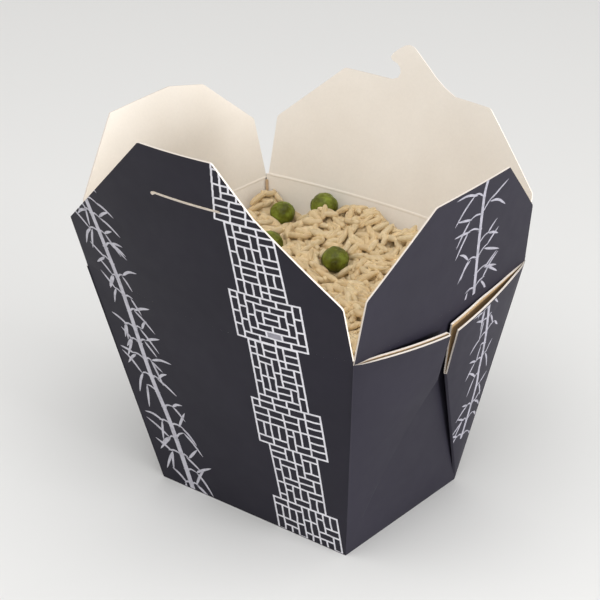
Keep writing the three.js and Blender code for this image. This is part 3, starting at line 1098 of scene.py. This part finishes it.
@dataclass
class PrintSheet:
    """Thin ink on one outer surface: shapes drawn in its flat plane, then bent on it with it."""

    palette: Palette
    mesh: bmesh.types.BMesh = field(default_factory=bmesh.new)
    proud: float = 0.04 * MM
    thickness: float = 0.1 * MM
    layer: float = 0.0025 * MM
    layers: int = 12
    count: int = 0

    def stroke(self, path: Sequence[Sequence[float]], width: float, ink: Ink,
               pointed: bool = True) -> None:
        """Draws one brush stroke.

        Args:
            path: Its middle line, as three or more points of a smooth curve.
            width: Its greatest width.
            ink: Its ink.
            pointed: Whether it thins out to both ends, as a leaf does.
        """
        line = smooth_path(path)
        steps = len(line) - 1
        made = bmesh.ops.create_grid(self.mesh, x_segments=steps, y_segments=1, size=1)["verts"]
        for vert in made:
            i = round((vert.co.x + 1) / 2 * steps)
            side = math.copysign(1, vert.co.y)
            before = line[max(i - 1, 0)]
            after = line[min(i + 1, steps)]
            across = (after - before).orthogonal().normalized()
            t = i / steps
            share = max(0.1, math.sin(math.pi * t ** 0.75) ** 0.5) if pointed else 1.0
            vert.co.xy = line[i] + across * (side * width / 2 * share)
        self.finish(made, ink)

    def patch(self, corners: Sequence[Point2], ink: Ink) -> None:
        """Fills a four-sided place, given by two opposite corners.

        Args:
            corners: The two corners.
            ink: Its ink.
        """
        (x0, y0), (x1, y1) = corners
        steps = max(1, round(abs(x1 - x0) / CELL))
        made = bmesh.ops.create_grid(self.mesh, x_segments=steps, y_segments=1, size=1)["verts"]
        for vert in made:
            vert.co.xy = (lerp(x0, x1, (vert.co.x + 1) / 2), lerp(y0, y1, (vert.co.y + 1) / 2))
        self.finish(made, ink)

    def finish(self, verts: Sequence[bmesh.types.BMVert], ink: Ink) -> None:
        """Gives a shape its ink and its own thin layer, so that crossing shapes don't coincide.

        Args:
            verts: The shape's vertices.
            ink: Its ink.
        """
        self.count += 1
        for vert in verts:
            vert.co.z = (self.count % self.layers) * self.layer
        for face in {face for vert in verts for face in vert.link_faces}:
            face.material_index = ink.value

    def build(self, name: str, mapping: Mapping) -> bpy.types.Object:
        """Thickens the print and bends it on its surface.

        Args:
            name: The piece's name.
            mapping: From (along, up, depth) to the box's frame.

        Returns:
            The print as an object.
        """
        bmesh.ops.translate(self.mesh, vec=(0, 0, self.thickness), verts=extruded(self.mesh))
        for vert in self.mesh.verts:
            along, up, depth = vert.co
            vert.co = mapping(along, up, depth - self.proud)
        bmesh.ops.recalc_face_normals(self.mesh, faces=self.mesh.faces)
        inks = [self.palette.white, self.palette.silver, self.palette.grey]
        return register(self.mesh, name, inks, None)


def smooth_path(points: Sequence[Sequence[float]], step: float = 1.6 * MM) -> list[Vector]:
    """A smooth curve through points, in short steps.

    Args:
        points: Points that the curve runs through.
        step: Greatest length of a step.

    Returns:
        The curve's points.
    """
    knots = [Vector(point) for point in points]
    ends = [knots[0] * 2 - knots[1], *knots, knots[-1] * 2 - knots[-2]]
    curve = [knots[0]]
    for before, a, b, after in zip(ends, ends[1:], ends[2:], ends[3:]):
        count = max(2, math.ceil((b - a).length / step))
        for k in range(1, count + 1):
            t = k / count
            curve.append(0.5 * (2 * a + (b - before) * t
                                + (2 * before - 5 * a + 4 * b - after) * t ** 2
                                + (3 * a - before - 3 * b + after) * t ** 3))
    return curve


@dataclass
class LatticeBand:
    """A band of lattice blocks: bricks lying and standing in turn, as a domino tiling."""

    line: float = 0.75 * MM
    cell: float = 3.1 * MM
    jitter: float = 0.16 * MM
    lying_share: float = 0.55
    standing_share: float = 0.92
    grey_share: float = 0.02

    def block(self, sheet: PrintSheet, foot: Sequence[Point2], head: Sequence[Point2],
              draw: random.Random) -> None:
        """Draws one block of the lattice.

        Args:
            sheet: The print that it belongs to.
            foot: The block's two lower corners.
            head: Its two upper corners.
            draw: The seeded generator.
        """
        size = (abs(foot[1][0] - foot[0][0]), abs(head[0][1] - foot[0][1]))
        columns, rows = (max(2, round(length / self.cell)) for length in size)

        def spot(u: float, v: float) -> Vector:
            """The place at the shares u across and v up the block."""
            low, high = (Vector(left).lerp(Vector(right), u) for left, right in (foot, head))
            return low.lerp(high, v)

        tiles = self.tiling(columns, rows, draw)
        made = bmesh.ops.create_grid(sheet.mesh, x_segments=2 * columns + 1,
                                     y_segments=2 * rows + 1, size=1)["verts"]
        faces = dict.fromkeys(face for vert in made for face in vert.link_faces)
        width, depth = 2 / (2 * columns + 1), 2 / (2 * rows + 1)
        doomed = []
        for face in faces:
            middle = face.calc_center_median()
            i, j = int((middle.x + 1) / width), int((middle.y + 1) / depth)
            if not self.is_line(tiles, i, j, columns, rows):
                doomed.append(face)
        shifts = {(i, j): (draw.uniform(-1, 1), draw.uniform(-1, 1))
                  for i in range(1, columns) for j in range(1, rows)}
        for vert in made:
            i, j = round((vert.co.x + 1) / width), round((vert.co.y + 1) / depth)
            place = spot((i // 2) / columns, (j // 2) / rows)
            shift = Vector(shifts.get((i // 2, j // 2), (0.0, 0.0))) * self.jitter
            vert.co.xy = place + shift + Vector((i % 2 - 0.5, j % 2 - 0.5)) * self.line
        bmesh.ops.delete(sheet.mesh, geom=doomed, context="FACES")
        sheet.finish([vert for vert in made if vert.is_valid], Ink.WHITE)
        for row in range(rows):
            for column in range(columns):
                brick = tiles[row][column]
                if brick % 100 >= 100 * self.grey_share:
                    continue
                right = column + 1 < columns and tiles[row][column + 1] == brick
                above = row + 1 < rows and tiles[row + 1][column] == brick
                tiles[row][column] = tiles[row][column + right] = tiles[row + above][column] = 99
                low = spot(column / columns, row / rows)
                high = spot((column + 1 + right) / columns, (row + 1 + above) / rows)
                sheet.patch((tuple(low), tuple(high)), Ink.GREY)

    def tiling(self, columns: int, rows: int, draw: random.Random) -> list[list[int]]:
        """Covers the block's cells with bricks of two cells, and of one where two don't fit.

        Args:
            columns: Cells across.
            rows: Cells up.
            draw: The seeded generator.

        Returns:
            For each cell the number of its brick, drawn at random.
        """
        tiles = [[-1] * columns for _ in range(rows)]
        for row in range(rows):
            for column in range(columns):
                if tiles[row][column] >= 0:
                    continue
                tiles[row][column] = draw.randrange(1 << 20)
                right = column + 1 < columns and tiles[row][column + 1] < 0
                above = row + 1 < rows
                if right and (draw.random() < self.lying_share or not above):
                    tiles[row][column + 1] = tiles[row][column]
                elif above and draw.random() < self.standing_share:
                    tiles[row + 1][column] = tiles[row][column]
        return tiles

    @staticmethod
    def is_line(tiles: list[list[int]], i: int, j: int, columns: int, rows: int) -> bool:
        """Whether a face of the block's grid is part of a line between bricks.

        Args:
            tiles: Each cell's brick.
            i: The face's column, odd over a cell and even between two.
            j: The face's row, in the same way.
            columns: Cells across.
            rows: Cells up.

        Returns:
            True where it is.
        """
        if i % 2 and j % 2:
            return False
        column, row = i // 2, j // 2
        if i % 2:
            return row in (0, rows) or tiles[row - 1][column] != tiles[row][column]
        if j % 2:
            return column in (0, columns) or tiles[row][column - 1] != tiles[row][column]
        return True


@dataclass
class Bamboo:
    """A brushed bamboo stem with twigs and long leaves. reach is a factor on their length."""

    stem_width: float = 2.3 * MM
    twig_width: float = 0.8 * MM
    leaf_width: float = 1.1 * MM
    node_spacing: float = 6.2 * MM
    leaf_length: float = 9.5 * MM
    ring_width: float = 0.7 * MM
    ring_bow: float = 0.25 * MM
    sag: float = 0.9 * MM
    pair_share: float = 0.45
    ink: Ink = Ink.SILVER
    reach: float = 1.0

    def draw(self, sheet: PrintSheet, path: Sequence[Point2], draw: random.Random) -> None:
        """Draws the stem, and at each of its nodes a ring and a twig or two with a few leaves.

        Args:
            sheet: The print that it belongs to.
            path: The stem's line, from its top down.
            draw: The seeded generator.
        """
        line = smooth_path(path)
        sheet.stroke(path, self.stem_width, self.ink, pointed=False)
        walked, side = 0.0, 1
        for before, here in zip(line, line[1:]):
            walked += (here - before).length
            if walked < self.node_spacing:
                continue
            walked = 0.0
            down = (here - before).normalized()
            across = down.orthogonal() * self.stem_width * draw.uniform(0.62, 0.8)
            sheet.stroke([here - across, here + down * self.ring_bow, here + across],
                         self.ring_width, self.ink)
            for turn in (side, -side) if draw.random() < self.pair_share else (side,):
                self.twig(sheet, here, down, turn, draw)
            side = -side

    def twig(self, sheet: PrintSheet, here: Vector, down: Vector, side: int,
             draw: random.Random) -> None:
        """Draws one twig, which climbs away from the stem, and its fan of drooping leaves.

        Args:
            sheet: The print that it belongs to.
            here: Where it leaves the stem.
            down: The stem's direction there.
            side: The side that it grows to, 1 or -1.
            draw: The seeded generator.
        """
        across = down.orthogonal() * side
        length = draw.uniform(3, 7) * MM * self.reach
        tip = here + across * length - down * length * draw.uniform(-0.2, 0.7)
        sheet.stroke([here, (here + tip) / 2 - down * self.sag, tip], self.twig_width, self.ink)
        for k in range(draw.choice((1, 2, 2, 3))):
            angle = draw.uniform(-1.35, -0.45) if k != 1 else draw.uniform(0.1, 0.9)
            start = here.lerp(tip, draw.uniform(0.6, 1.0))
            heading = across * math.cos(angle) - down * math.sin(angle)
            size = self.leaf_length * draw.uniform(0.6, 1.25) * self.reach
            end = start + heading * size
            middle = (start + end) / 2 - down * size * draw.uniform(0.0, 0.12)
            sheet.stroke([start, middle, end], self.leaf_width, self.ink)


# The lattice's levels from the foot up: where the block below ends (first two) and the one above
# starts (last two).
LATTICE_ROWS = tuple(millimetres(*row) for row in (
    ((-41.6, -96), (-12.8, -96), (-41.6, -96), (-12.8, -96)),
    ((-41.5, -74.2), (-13.2, -74.8), (-36.8, -74.2), (-16.7, -74.7)),
    ((-37.5, -47.7), (-17.0, -48.4), (-42.1, -47.6), (-12.9, -48.5)),
    ((-42.5, -27.6), (-14.1, -28.1), (-38.0, -27.7), (-17.6, -28.1)),
    ((-38.9, -0.3), (-19.6, 0.1), (-43.3, 0.0), (-15.6, 0.5)),
    ((-44.6, 20.3), (-17.2, 21.0), (-40.1, 20.4), (-21.1, 20.9)),
    ((-41.0, 50.6), (-23.1, 51.0), (-46.8, 50.4), (-19.6, 51.5)),
    ((-51.0, 75.0), (-24.3, 75.5), (-51.0, 75.0), (-24.3, 75.5))))


@dataclass
class BoxPrint:
    """The print of the whole box; the design repeats after half a turn."""

    palette: Palette
    edge: float = 0.35 * MM

    def panel_outline(self, panel: Panel) -> list[Point2]:
        """The outline of a panel's wall and flap in one, with up 0 at the crease.

        Args:
            panel: The panel.

        Returns:
            The outline's points.
        """
        foot = panel.half_length(0) - self.edge
        rim = panel.half_length() - self.edge
        return [(-rim, -self.edge), (-rim, 0.0), *panel.flap_outline(), (rim, 0.0),
                (rim, -self.edge), (foot, -RIM_HEIGHT + self.edge), (-foot, -RIM_HEIGHT + self.edge)]

    def main_panel(self, panel: Panel, seed: int) -> None:
        """Prints the front's or back's band of lattice and its bamboo.

        Args:
            panel: The front or the back panel.
            seed: Seed of its random details.
        """
        draw = random.Random(seed)
        sheet = PrintSheet(self.palette)
        band = LatticeBand()
        for foot, head in zip(LATTICE_ROWS, LATTICE_ROWS[1:]):
            band.block(sheet, foot[2:], head[:2], draw)
        stem = millimetres((50, 58), (45.6, 38), (41, 4), (37, -38), (32.7, -59), (28.7, -87.5), (28, -93))
        Bamboo().draw(sheet, stem, draw)
        self.close(sheet, panel)

    def side_panel(self, panel: Panel, seed: int) -> None:
        """Prints the right or left flap's bamboo, and the bamboo on the web below it.

        Args:
            panel: The right or the left panel.
            seed: Seed of its random details.
        """
        draw = random.Random(seed)
        sheet = PrintSheet(self.palette)
        stem = millimetres((-8.8, 49), (-8.5, 42.6), (-11.1, 24.5), (-13.4, 11.4), (-15.3, 0.6))
        slim = {"stem_width": 1.5 * MM, "twig_width": 0.7 * MM, "ink": Ink.GREY}
        Bamboo(leaf_width=0.95 * MM, node_spacing=5.58 * MM, reach=1.15, **slim).draw(sheet, stem, draw)
        trim(sheet.mesh, millimetres((-60, 0.5), (-60, 90), (60, 90), (60, 0.5)))
        self.close(sheet, panel)
        web = Web(self.palette, panel, 1)
        sheet = PrintSheet(self.palette)
        stem = millimetres((-16, 95), (-20.2, 85.4), (-26.6, 65.9), (-28.1, 52.3), (-29.6, 42.9),
                           (-27.7, 21.6))
        Bamboo(leaf_width=0.9 * MM, reach=0.85, **slim).draw(sheet, stem, draw)
        outline = []
        for a, b in ((0.03, 0.02), (0.03, 0.99), (0.99, 0.99), (0.99, web.fold_share), (0.97, 0.02)):
            corner_along, corner_up, free_along, free_up, *_ = web.row(b)
            outline.append((lerp(corner_along, free_along, a), lerp(corner_up, free_up, a)))
        trim(sheet.mesh, outline)
        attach(sheet.build(f"print_web_{web.name}", web.on_face), "box")

    def close(self, sheet: PrintSheet, panel: Panel) -> None:
        """Trims a panel's print to its board and lays it on the wall and the flap.

        Args:
            sheet: The panel's print.
            panel: The panel.
        """
        trim(sheet.mesh, self.panel_outline(panel))
        cut_slit_and_rows(sheet.mesh, panel)
        piece = sheet.build(f"print_{panel.name}", panel.surface)
        blend_over_crease(piece, panel)


# ------------------------------------------------------------------ food


# The rice's surface: its level, its greatest height and its swells, each with its x, y, rise and
# spread along x and y, in millimetres.
RICE_LEVEL = 79.5 * MM
RICE_TOP = 86.6 * MM
RICE_SWELLS = (
    (-10, 46, 9.4, 10, 8), (8, 47, 3.4, 8, 8), (28, 46, 4.0, 17, 12), (-25, 46, 3.6, 6, 7),
    (-55, 45, 6.0, 5, 6), (-39, 42, -4.0, 5, 6), (-40, 31, -3.4, 5, 5), (-26, 39, 5.0, 5.5, 5),
    (-14, 33, 1.6, 10, 6), (2, 14, -6.6, 7, 7), (-31, 17, -2.6, 6, 6), (22, 24, 1.4, 9, 9),
    (-10, 8, 1.4, 16, 12), (30, -10, 1.2, 18, 14), (-38, -24, 1.0, 14, 12))


def rice_height(x: float, y: float) -> float:
    """Height of the rice's surface without its single grains.

    Args:
        x: Place across the box.
        y: Place from the front to the back.

    Returns:
        The height.
    """
    total = RICE_LEVEL
    for cx, cy, rise, wide, deep in RICE_SWELLS:
        total += rise * MM * math.exp(-((x / MM - cx) / wide) ** 2 - ((y / MM - cy) / deep) ** 2)
    return min(total, RICE_TOP)


def inner_room(x: float, y: float, z: float) -> float:
    """Distance from a point to the nearest inner wall, bows included.

    Args:
        x: Place across the box.
        y: Place from the front to the back.
        z: Height.

    Returns:
        The distance, below 0 outside.
    """
    f = z / RIM_HEIGHT
    gaps = []
    for panel in PANELS.values():
        local = panel.to_box(0, 1, 0)
        out = x * local.x + y * local.y
        along = x * local.y - y * local.x
        gaps.append(panel.reach(f) + panel.swell(along, f) - BOARD - out)
    return min(gaps)


# How far each pea has settled in the loose rice, in millimetres from its CAD node's middle.
PEA_SHIFTS = {
    "pea_back_left": (0.4, 0.3, -0.5), "pea_back_wall": (-1.3, -0.6, -1.2),
    "pea_left": (-1.8, -1.4, -1.9), "pea_middle": (-0.4, -0.3, 0), "pea_right_hidden": (0, 0, 0),
    "pea_front_hidden": (0, 0, 0)}


@dataclass
class PeaBed:
    """The peas, each in the place of its CAD node. The depths are shares of a pea's radius."""

    palette: Palette
    broad: float = 0.05
    fold: float = 0.09
    fine: float = 0.008
    flattening: float = 0.05
    fullness: float = 0.985

    def place(self, node: str) -> tuple[Vector, float]:
        """The centre and radius of a pea: its CAD node's, settled a little in the rice."""
        low, high = (Vector(corner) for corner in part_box(node))
        return (low + high) / 2 + Vector(PEA_SHIFTS[node]) * MM, (high - low).x / 2

    def build(self) -> list[tuple[Vector, float]]:
        """Builds each pea, with dimples and soft folds in its skin.

        Returns:
            The centre and radius of each pea.
        """
        places = []
        for number, node in enumerate(PEA_SHIFTS):
            centre, radius = self.place(node)
            mesh = bmesh.new()
            bmesh.ops.create_icosphere(mesh, subdivisions=5, radius=radius)
            offset = Vector((number * 3.7, number * 1.3, 0))
            for vert in mesh.verts:
                normal = vert.co.normalized()
                broad = noise.noise(normal * 1.5 + offset) * self.broad
                fold = -abs(noise.noise(normal * 3.1 + offset * 2)) * self.fold
                fine = noise.noise(normal * 11 + offset) * self.fine
                flat = 1 - self.flattening * normal.z ** 2
                vert.co = normal * radius * (self.fullness + broad + fold + fine) * flat + centre
            piece = register(mesh, f"{node}_skin", [self.palette.pea], 80.0)
            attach(piece, "box")
            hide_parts(node)
            places.append((centre, radius))
        return places


class HeightField:
    """The heap's surface as a raster of heights, which rises as grains are laid on it."""

    def __init__(self, raster: float, depth: float) -> None:
        """Starts the surface at the given depth below the wanted one.

        Args:
            raster: Width of a cell.
            depth: Depth of the bed below the wanted surface.
        """
        self.raster = raster
        self.xs = np.arange(-60 * MM, 60 * MM, raster)
        self.ys = np.arange(-54 * MM, 56 * MM, raster)
        self.target = np.array([[rice_height(x, y) for x in self.xs] for y in self.ys])
        self.heights = self.target - depth

    def lowest_spot(self, draw: random.Random, tries: int = 4, margin: float = 1.6 * MM,
                    excess: float = 0.9 * MM) -> Point2 | None:
        """The lowest of a few random places, measured against the wanted surface.

        Args:
            draw: The seeded generator.
            tries: How many places are compared.
            margin: Least distance to the box's walls.
            excess: How far the surface may already be above the wanted one.

        Returns:
            The place in plan, or None where none will do.
        """
        best = None
        for _ in range(tries):
            i, j = draw.randrange(len(self.ys)), draw.randrange(len(self.xs))
            x, y = self.xs[j], self.ys[i]
            if inner_room(x, y, self.target[i, j]) < margin:
                continue
            lack = self.target[i, j] - self.heights[i, j]
            if best is None or lack > best[0]:
                best = (lack, x, y)
        if best is None or best[0] < -excess:
            return None
        return best[1], best[2]

    def under(self, places: np.ndarray) -> np.ndarray:
        """The heights under some places in plan.

        Args:
            places: The places, one a row.

        Returns:
            One height for each.
        """
        rows = np.clip(((places[:, 1] - self.ys[0]) / self.raster).round().astype(int),
                       0, len(self.ys) - 1)
        columns = np.clip(((places[:, 0] - self.xs[0]) / self.raster).round().astype(int),
                          0, len(self.xs) - 1)
        return self.heights[rows, columns]

    def cover(self, middle: Vector, axis: Vector, half: float, radius: float) -> None:
        """Raises the surface to the top of a grain.

        Args:
            middle: The grain's middle.
            axis: Its direction, of length 1.
            half: Its half length.
            radius: Its radius.
        """
        j0, j1 = np.searchsorted(self.xs, (middle.x - half, middle.x + half))
        i0, i1 = np.searchsorted(self.ys, (middle.y - half, middle.y + half))
        grid_x, grid_y = np.meshgrid(self.xs[j0:j1] - middle.x, self.ys[i0:i1] - middle.y)
        flat = math.hypot(axis.x, axis.y)
        along = (grid_x * axis.x + grid_y * axis.y) / flat
        across = (grid_x * axis.y - grid_y * axis.x) / flat
        width = radius * np.sqrt(np.clip(1 - (along / (half * flat)) ** 2, 0, 1))
        top = middle.z + along * axis.z / flat + np.sqrt(np.clip(width ** 2 - across ** 2, 0, None))
        covered = (np.abs(across) < width) & (np.abs(along) < half * flat)
        patch = self.heights[i0:i1, j0:j1]
        patch[covered] = np.maximum(patch[covered], top[covered])


@dataclass(frozen=True)
class Grain:
    """A laid grain: its place, half length, radius, bend, taper and tone, and its ends' bluntness."""

    place: Matrix
    half: float
    radius: float
    curve: float
    taper: float
    tone: float
    bluntness: float = 0.7

    def shaped(self, points: np.ndarray) -> np.ndarray:
        """The grain's points, from those of a ball of radius 1.

        Args:
            points: The ball's points, one a row.

        Returns:
            The grain's points in the box's frame.
        """
        along = points[:, 0]
        blunt = np.sign(along) * np.abs(along) ** self.bluntness
        width = points[:, 1:] * self.radius * (1 - self.taper * along)[:, None]
        width[:, 1] -= self.curve * along ** 2 * self.radius
        local = np.column_stack([blunt * self.half, width])
        return local @ np.array(self.place.to_3x3()).T + np.array(self.place.translation)


@dataclass
class RiceHeap:
    """The rice: a bumpy bed with single cooked grains laid on it one by one.

    The bed's bumps are a broad and a fine one, each with its height and its size. lengths and
    radii are factors on a grain's own, and sinks and the two touches are shares of its radius.
    A grain rests on the part of its length that footing says, and takes the share of the
    ground's slope that follow says.
    """

    palette: Palette
    peas: list[tuple[Vector, float]]
    grain_count: int = 1500
    grain_length: float = 7.6 * MM
    grain_radius: float = 1.22 * MM
    lengths: tuple[float, float] = (0.82, 1.12)
    radii: tuple[float, float] = (0.88, 1.1)
    sinks: tuple[float, float] = (0.8, 1.4)
    footing: float = 0.8
    follow: float = 0.8
    lean: float = 0.2
    steepest: float = 0.75
    most_bend: float = 0.9
    most_taper: float = 0.12
    tip_touch: float = 0.35
    pea_touch: float = 0.55
    clearance: float = 0.2 * MM
    wall_gap: float = 0.35 * MM
    floor_gap: float = 0.4 * MM
    bed_depth: float = 0.6 * MM
    bed_steps: tuple[int, int] = (200, 168)
    bumps: tuple[Point2, Point2] = ((0.9 * MM, 2.6 * MM), (0.45 * MM, 1.1 * MM))
    raster: float = 0.4 * MM
    seed: int = 7

    def build(self) -> None:
        """Builds the bed and the grains."""
        bed = self.bed()
        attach(bed, "box")
        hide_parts("rice_heap")
        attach(self.grains(), "box")

    def bed(self) -> bpy.types.Object:
        """The rice below the loose grains, filling the box to its walls.

        Returns:
            The bed as an object.
        """
        gap = BOARD + self.wall_gap
        floor = BOARD + self.floor_gap
        f = RICE_LEVEL / RIM_HEIGHT
        (broad, broad_size), (fine, fine_size) = self.bumps
        mesh = bmesh.new()
        bmesh.ops.create_grid(mesh, x_segments=self.bed_steps[0], y_segments=self.bed_steps[1], size=1)
        for vert in mesh.verts:
            share_x, share_y = vert.co.x, vert.co.y
            x = share_x * (half_width(f) - gap)
            y = share_y * (half_depth(f) - gap)
            side = PANELS[Side.BACK] if y > 0 else PANELS[Side.FRONT]
            y += math.copysign(side.swell(x, f) * abs(share_y), y)
            x += math.copysign(PANELS[Side.RIGHT].swell(y, f) * abs(share_x), x)
            relief = broad * noise.noise(Vector((x, y, 0)) / broad_size)
            relief += fine * noise.noise(Vector((x, y, 3 * MM)) / fine_size)
            vert.co = (x, y, rice_height(x, y) - self.bed_depth + relief)
        foot = floor / RIM_HEIGHT
        shrink_x = (half_width(foot) - gap) / half_width(f)
        shrink_y = (half_depth(foot) - gap) / (half_depth(f) + PANELS[Side.BACK].bow)
        for vert in extruded(mesh):
            vert.co = (vert.co.x * shrink_x, vert.co.y * shrink_y, floor)
        bmesh.ops.recalc_face_normals(mesh, faces=mesh.faces)
        return register(mesh, "rice_bed", [self.palette.bed], 60.0)

    def template(self) -> tuple[np.ndarray, np.ndarray]:
        """A ball of radius 1 with its poles on X, as arrays of points and triangles.

        Returns:
            The points and the triangles.
        """
        mesh = bmesh.new()
        bmesh.ops.create_uvsphere(mesh, u_segments=10, v_segments=7, radius=1.0)
        bmesh.ops.rotate(mesh, verts=mesh.verts, cent=(0, 0, 0),
                         matrix=Matrix.Rotation(math.pi / 2, 3, "Y"))
        bmesh.ops.triangulate(mesh, faces=mesh.faces)
        points = np.array([vert.co[:] for vert in mesh.verts])
        mesh.verts.index_update()
        faces = np.array([[vert.index for vert in face.verts] for face in mesh.faces])
        mesh.free()
        return points, faces

    def grains(self) -> bpy.types.Object:
        """Lays the grains one by one, each into the lowest of a few places, and joins them.

        Returns:
            All the grains as one object.
        """
        draw = random.Random(self.seed)
        surface = HeightField(self.raster, self.bed_depth)
        points, faces = self.template()
        all_points, all_faces, tones = [], [], []
        for _ in range(self.grain_count * 3):
            laid = len(all_points)
            if laid == self.grain_count:
                break
            spot = surface.lowest_spot(draw)
            grain = self.lay(draw, spot, surface) if spot else None
            if grain is None:
                continue
            all_points.append(grain.shaped(points))
            all_faces.append(faces + laid * len(points))
            tones.append(np.full(len(points), grain.tone))
        data = bpy.data.meshes.new("rice_grains")
        data.from_pydata(np.concatenate(all_points).tolist(), [], np.concatenate(all_faces).tolist())
        data.attributes.new("tone", "FLOAT", "POINT").data.foreach_set("value", np.concatenate(tones))
        data.polygons.foreach_set("use_smooth", np.ones(len(data.polygons), bool))
        data.materials.append(self.palette.grain)
        piece = put("rice_grains", data)
        LOG.info("rice_grains: %d grains, %d faces", len(all_points), len(data.polygons))
        return piece

    def lay(self, draw: random.Random, spot: Point2, surface: HeightField) -> Grain | None:
        """Lays one grain on what is there and raises the surface under it.

        Args:
            draw: The seeded generator.
            spot: Its middle in plan.
            surface: The heap's surface, which is changed.

        Returns:
            The grain, or None where it doesn't fit.
        """
        half = self.grain_length / 2 * draw.uniform(*self.lengths)
        radius = self.grain_radius * draw.uniform(*self.radii)
        yaw = draw.uniform(0, math.tau)
        direction = np.array([math.cos(yaw), math.sin(yaw)])
        stations = np.linspace(-self.footing, self.footing, 5) * half
        profile = radius * np.sqrt(1 - (stations / half) ** 2)
        ground = surface.under(np.array(spot) + stations[:, None] * direction)
        lean = draw.uniform(-self.lean, self.lean)
        slope = (ground[-1] - ground[0]) / (2 * self.footing * half) * self.follow + lean
        slope = float(np.clip(slope, -self.steepest, self.steepest))
        pitch = math.atan(slope)
        flat = math.cos(pitch)
        sink = radius * draw.uniform(*self.sinks)
        level = float(np.max(ground + profile - stations * slope * flat)) - sink
        middle = Vector((spot[0], spot[1], level))
        axis = Vector((direction[0] * flat, direction[1] * flat, math.sin(pitch)))
        if not self.fits(middle, axis * half, radius):
            return None
        surface.cover(middle, axis, half, radius)
        turn = Euler((draw.uniform(0, math.tau), -pitch, yaw), "XYZ").to_matrix().to_4x4()
        curve = draw.uniform(0.0, self.most_bend)
        taper = draw.uniform(-self.most_taper, self.most_taper)
        return Grain(Matrix.Translation(middle) @ turn, half, radius, curve, taper, draw.random())

    def fits(self, middle: Vector, reach: Vector, radius: float) -> bool:
        """Whether a grain is clear of the walls and touches the peas no more than lightly.

        Args:
            middle: The grain's middle.
            reach: From its middle to its tip.
            radius: Its radius.

        Returns:
            True where it is.
        """
        for share in (-1, -0.5, 0, 0.5, 1):
            point = middle + reach * share
            room = radius * (self.tip_touch if abs(share) == 1 else 1.0) + self.clearance
            if inner_room(*point) < room:
                return False
            near = radius * self.pea_touch
            if any((point - centre).length < pea + near for centre, pea in self.peas):
                return False
        return True


# ------------------------------------------------------------------ studio


@dataclass
class Studio:
    """The camera, the soft lights and the pale floor."""

    palette: Palette
    aim: tuple[float, float, float] = (-0.03795, 0.04222, 0.04499)
    azimuth: float = 39.6
    elevation: float = 27.03
    roll: float = -0.79
    distance: float = 0.87338
    lens: float = 136.5
    light_aim: tuple[float, float, float] = (0, 0, 60 * MM)
    sky: float = 0.65

    def build(self) -> None:
        """Builds the camera, the lights and the floor."""
        self.camera()
        self.lights()
        self.floor()

    def camera(self) -> None:
        """A long lens, turned round the box to the corner of the front and right panels."""
        azimuth = math.radians(self.azimuth)
        elevation = math.radians(self.elevation)
        back = Vector((math.sin(azimuth) * math.cos(elevation),
                       -math.cos(azimuth) * math.cos(elevation), math.sin(elevation)))
        right = Vector((0, 0, 1)).cross(back).normalized()
        up = back.cross(right)
        roll = math.radians(self.roll)
        turned_right = right * math.cos(roll) + up * math.sin(roll)
        turned_up = up * math.cos(roll) - right * math.sin(roll)
        place = Matrix((turned_right, turned_up, back)).transposed().to_4x4()
        place.translation = Vector(self.aim) + back * self.distance
        data = bpy.data.cameras.new("camera")
        data.lens = self.lens
        data.sensor_width = 36
        data.clip_start = 0.01
        camera = put("camera", data)
        camera.matrix_world = place
        bpy.context.scene.camera = camera

    def lights(self) -> None:
        """A large soft key from above, a low one from the right, a weak one from the front left
        and an even sky."""
        self.area("key", (0.25, -0.35, 1.15), 0.9, 6.7)
        self.area("side", (1.0, 0.0, 0.085), 0.42, 12.5)
        self.area("fill", (-0.8, -0.7, 0.8), 0.9, 1.0)
        world = bpy.data.worlds.new("sky")
        world.use_nodes = True
        background = world.node_tree.nodes["Background"]
        background.inputs["Color"].default_value = (1.0, 0.99, 0.98, 1.0)
        background.inputs["Strength"].default_value = self.sky
        bpy.context.scene.world = world
        bpy.context.scene.view_settings.view_transform = "Standard"

    def area(self, name: str, place: Sequence[float], size: float, power: float) -> None:
        """A square area light that faces the middle of the box.

        Args:
            name: The light's name.
            place: Where it hangs.
            size: Its side.
            power: Its power in watts.
        """
        data = bpy.data.lights.new(name, "AREA")
        data.size = size
        data.energy = power
        light = put(name, data)
        light.location = place
        towards = Vector(self.light_aim) - Vector(place)
        light.rotation_euler = towards.to_track_quat("-Z", "Y").to_euler()

    def floor(self) -> None:
        """A wide pale floor."""
        mesh = bmesh.new()
        bmesh.ops.create_grid(mesh, x_segments=8, y_segments=8, size=3)
        data = bpy.data.meshes.new("floor")
        mesh.to_mesh(data)
        mesh.free()
        data.materials.append(self.palette.floor)
        put("floor", data)


def main() -> None:
    """Builds the carton, its flaps and print, the food and the studio, in that order."""
    logging.basicConfig(level=logging.INFO, format="%(name)s %(message)s")
    palette = Palette()
    Carton(palette).build()
    for panel in (PANELS[Side.LEFT], PANELS[Side.RIGHT]):
        for end in (1, -1):
            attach(Web(palette, panel, end).build(), "box")
    for panel in PANELS.values():
        LidFlap(palette, panel).build()
    prints = BoxPrint(palette)
    prints.main_panel(PANELS[Side.FRONT], 11)
    prints.main_panel(PANELS[Side.BACK], 12)
    prints.side_panel(PANELS[Side.RIGHT], 13)
    prints.side_panel(PANELS[Side.LEFT], 14)
    peas = PeaBed(palette).build()
    RiceHeap(palette, peas).build()
    Studio(palette).build()


if __name__ == "__main__":
    main()
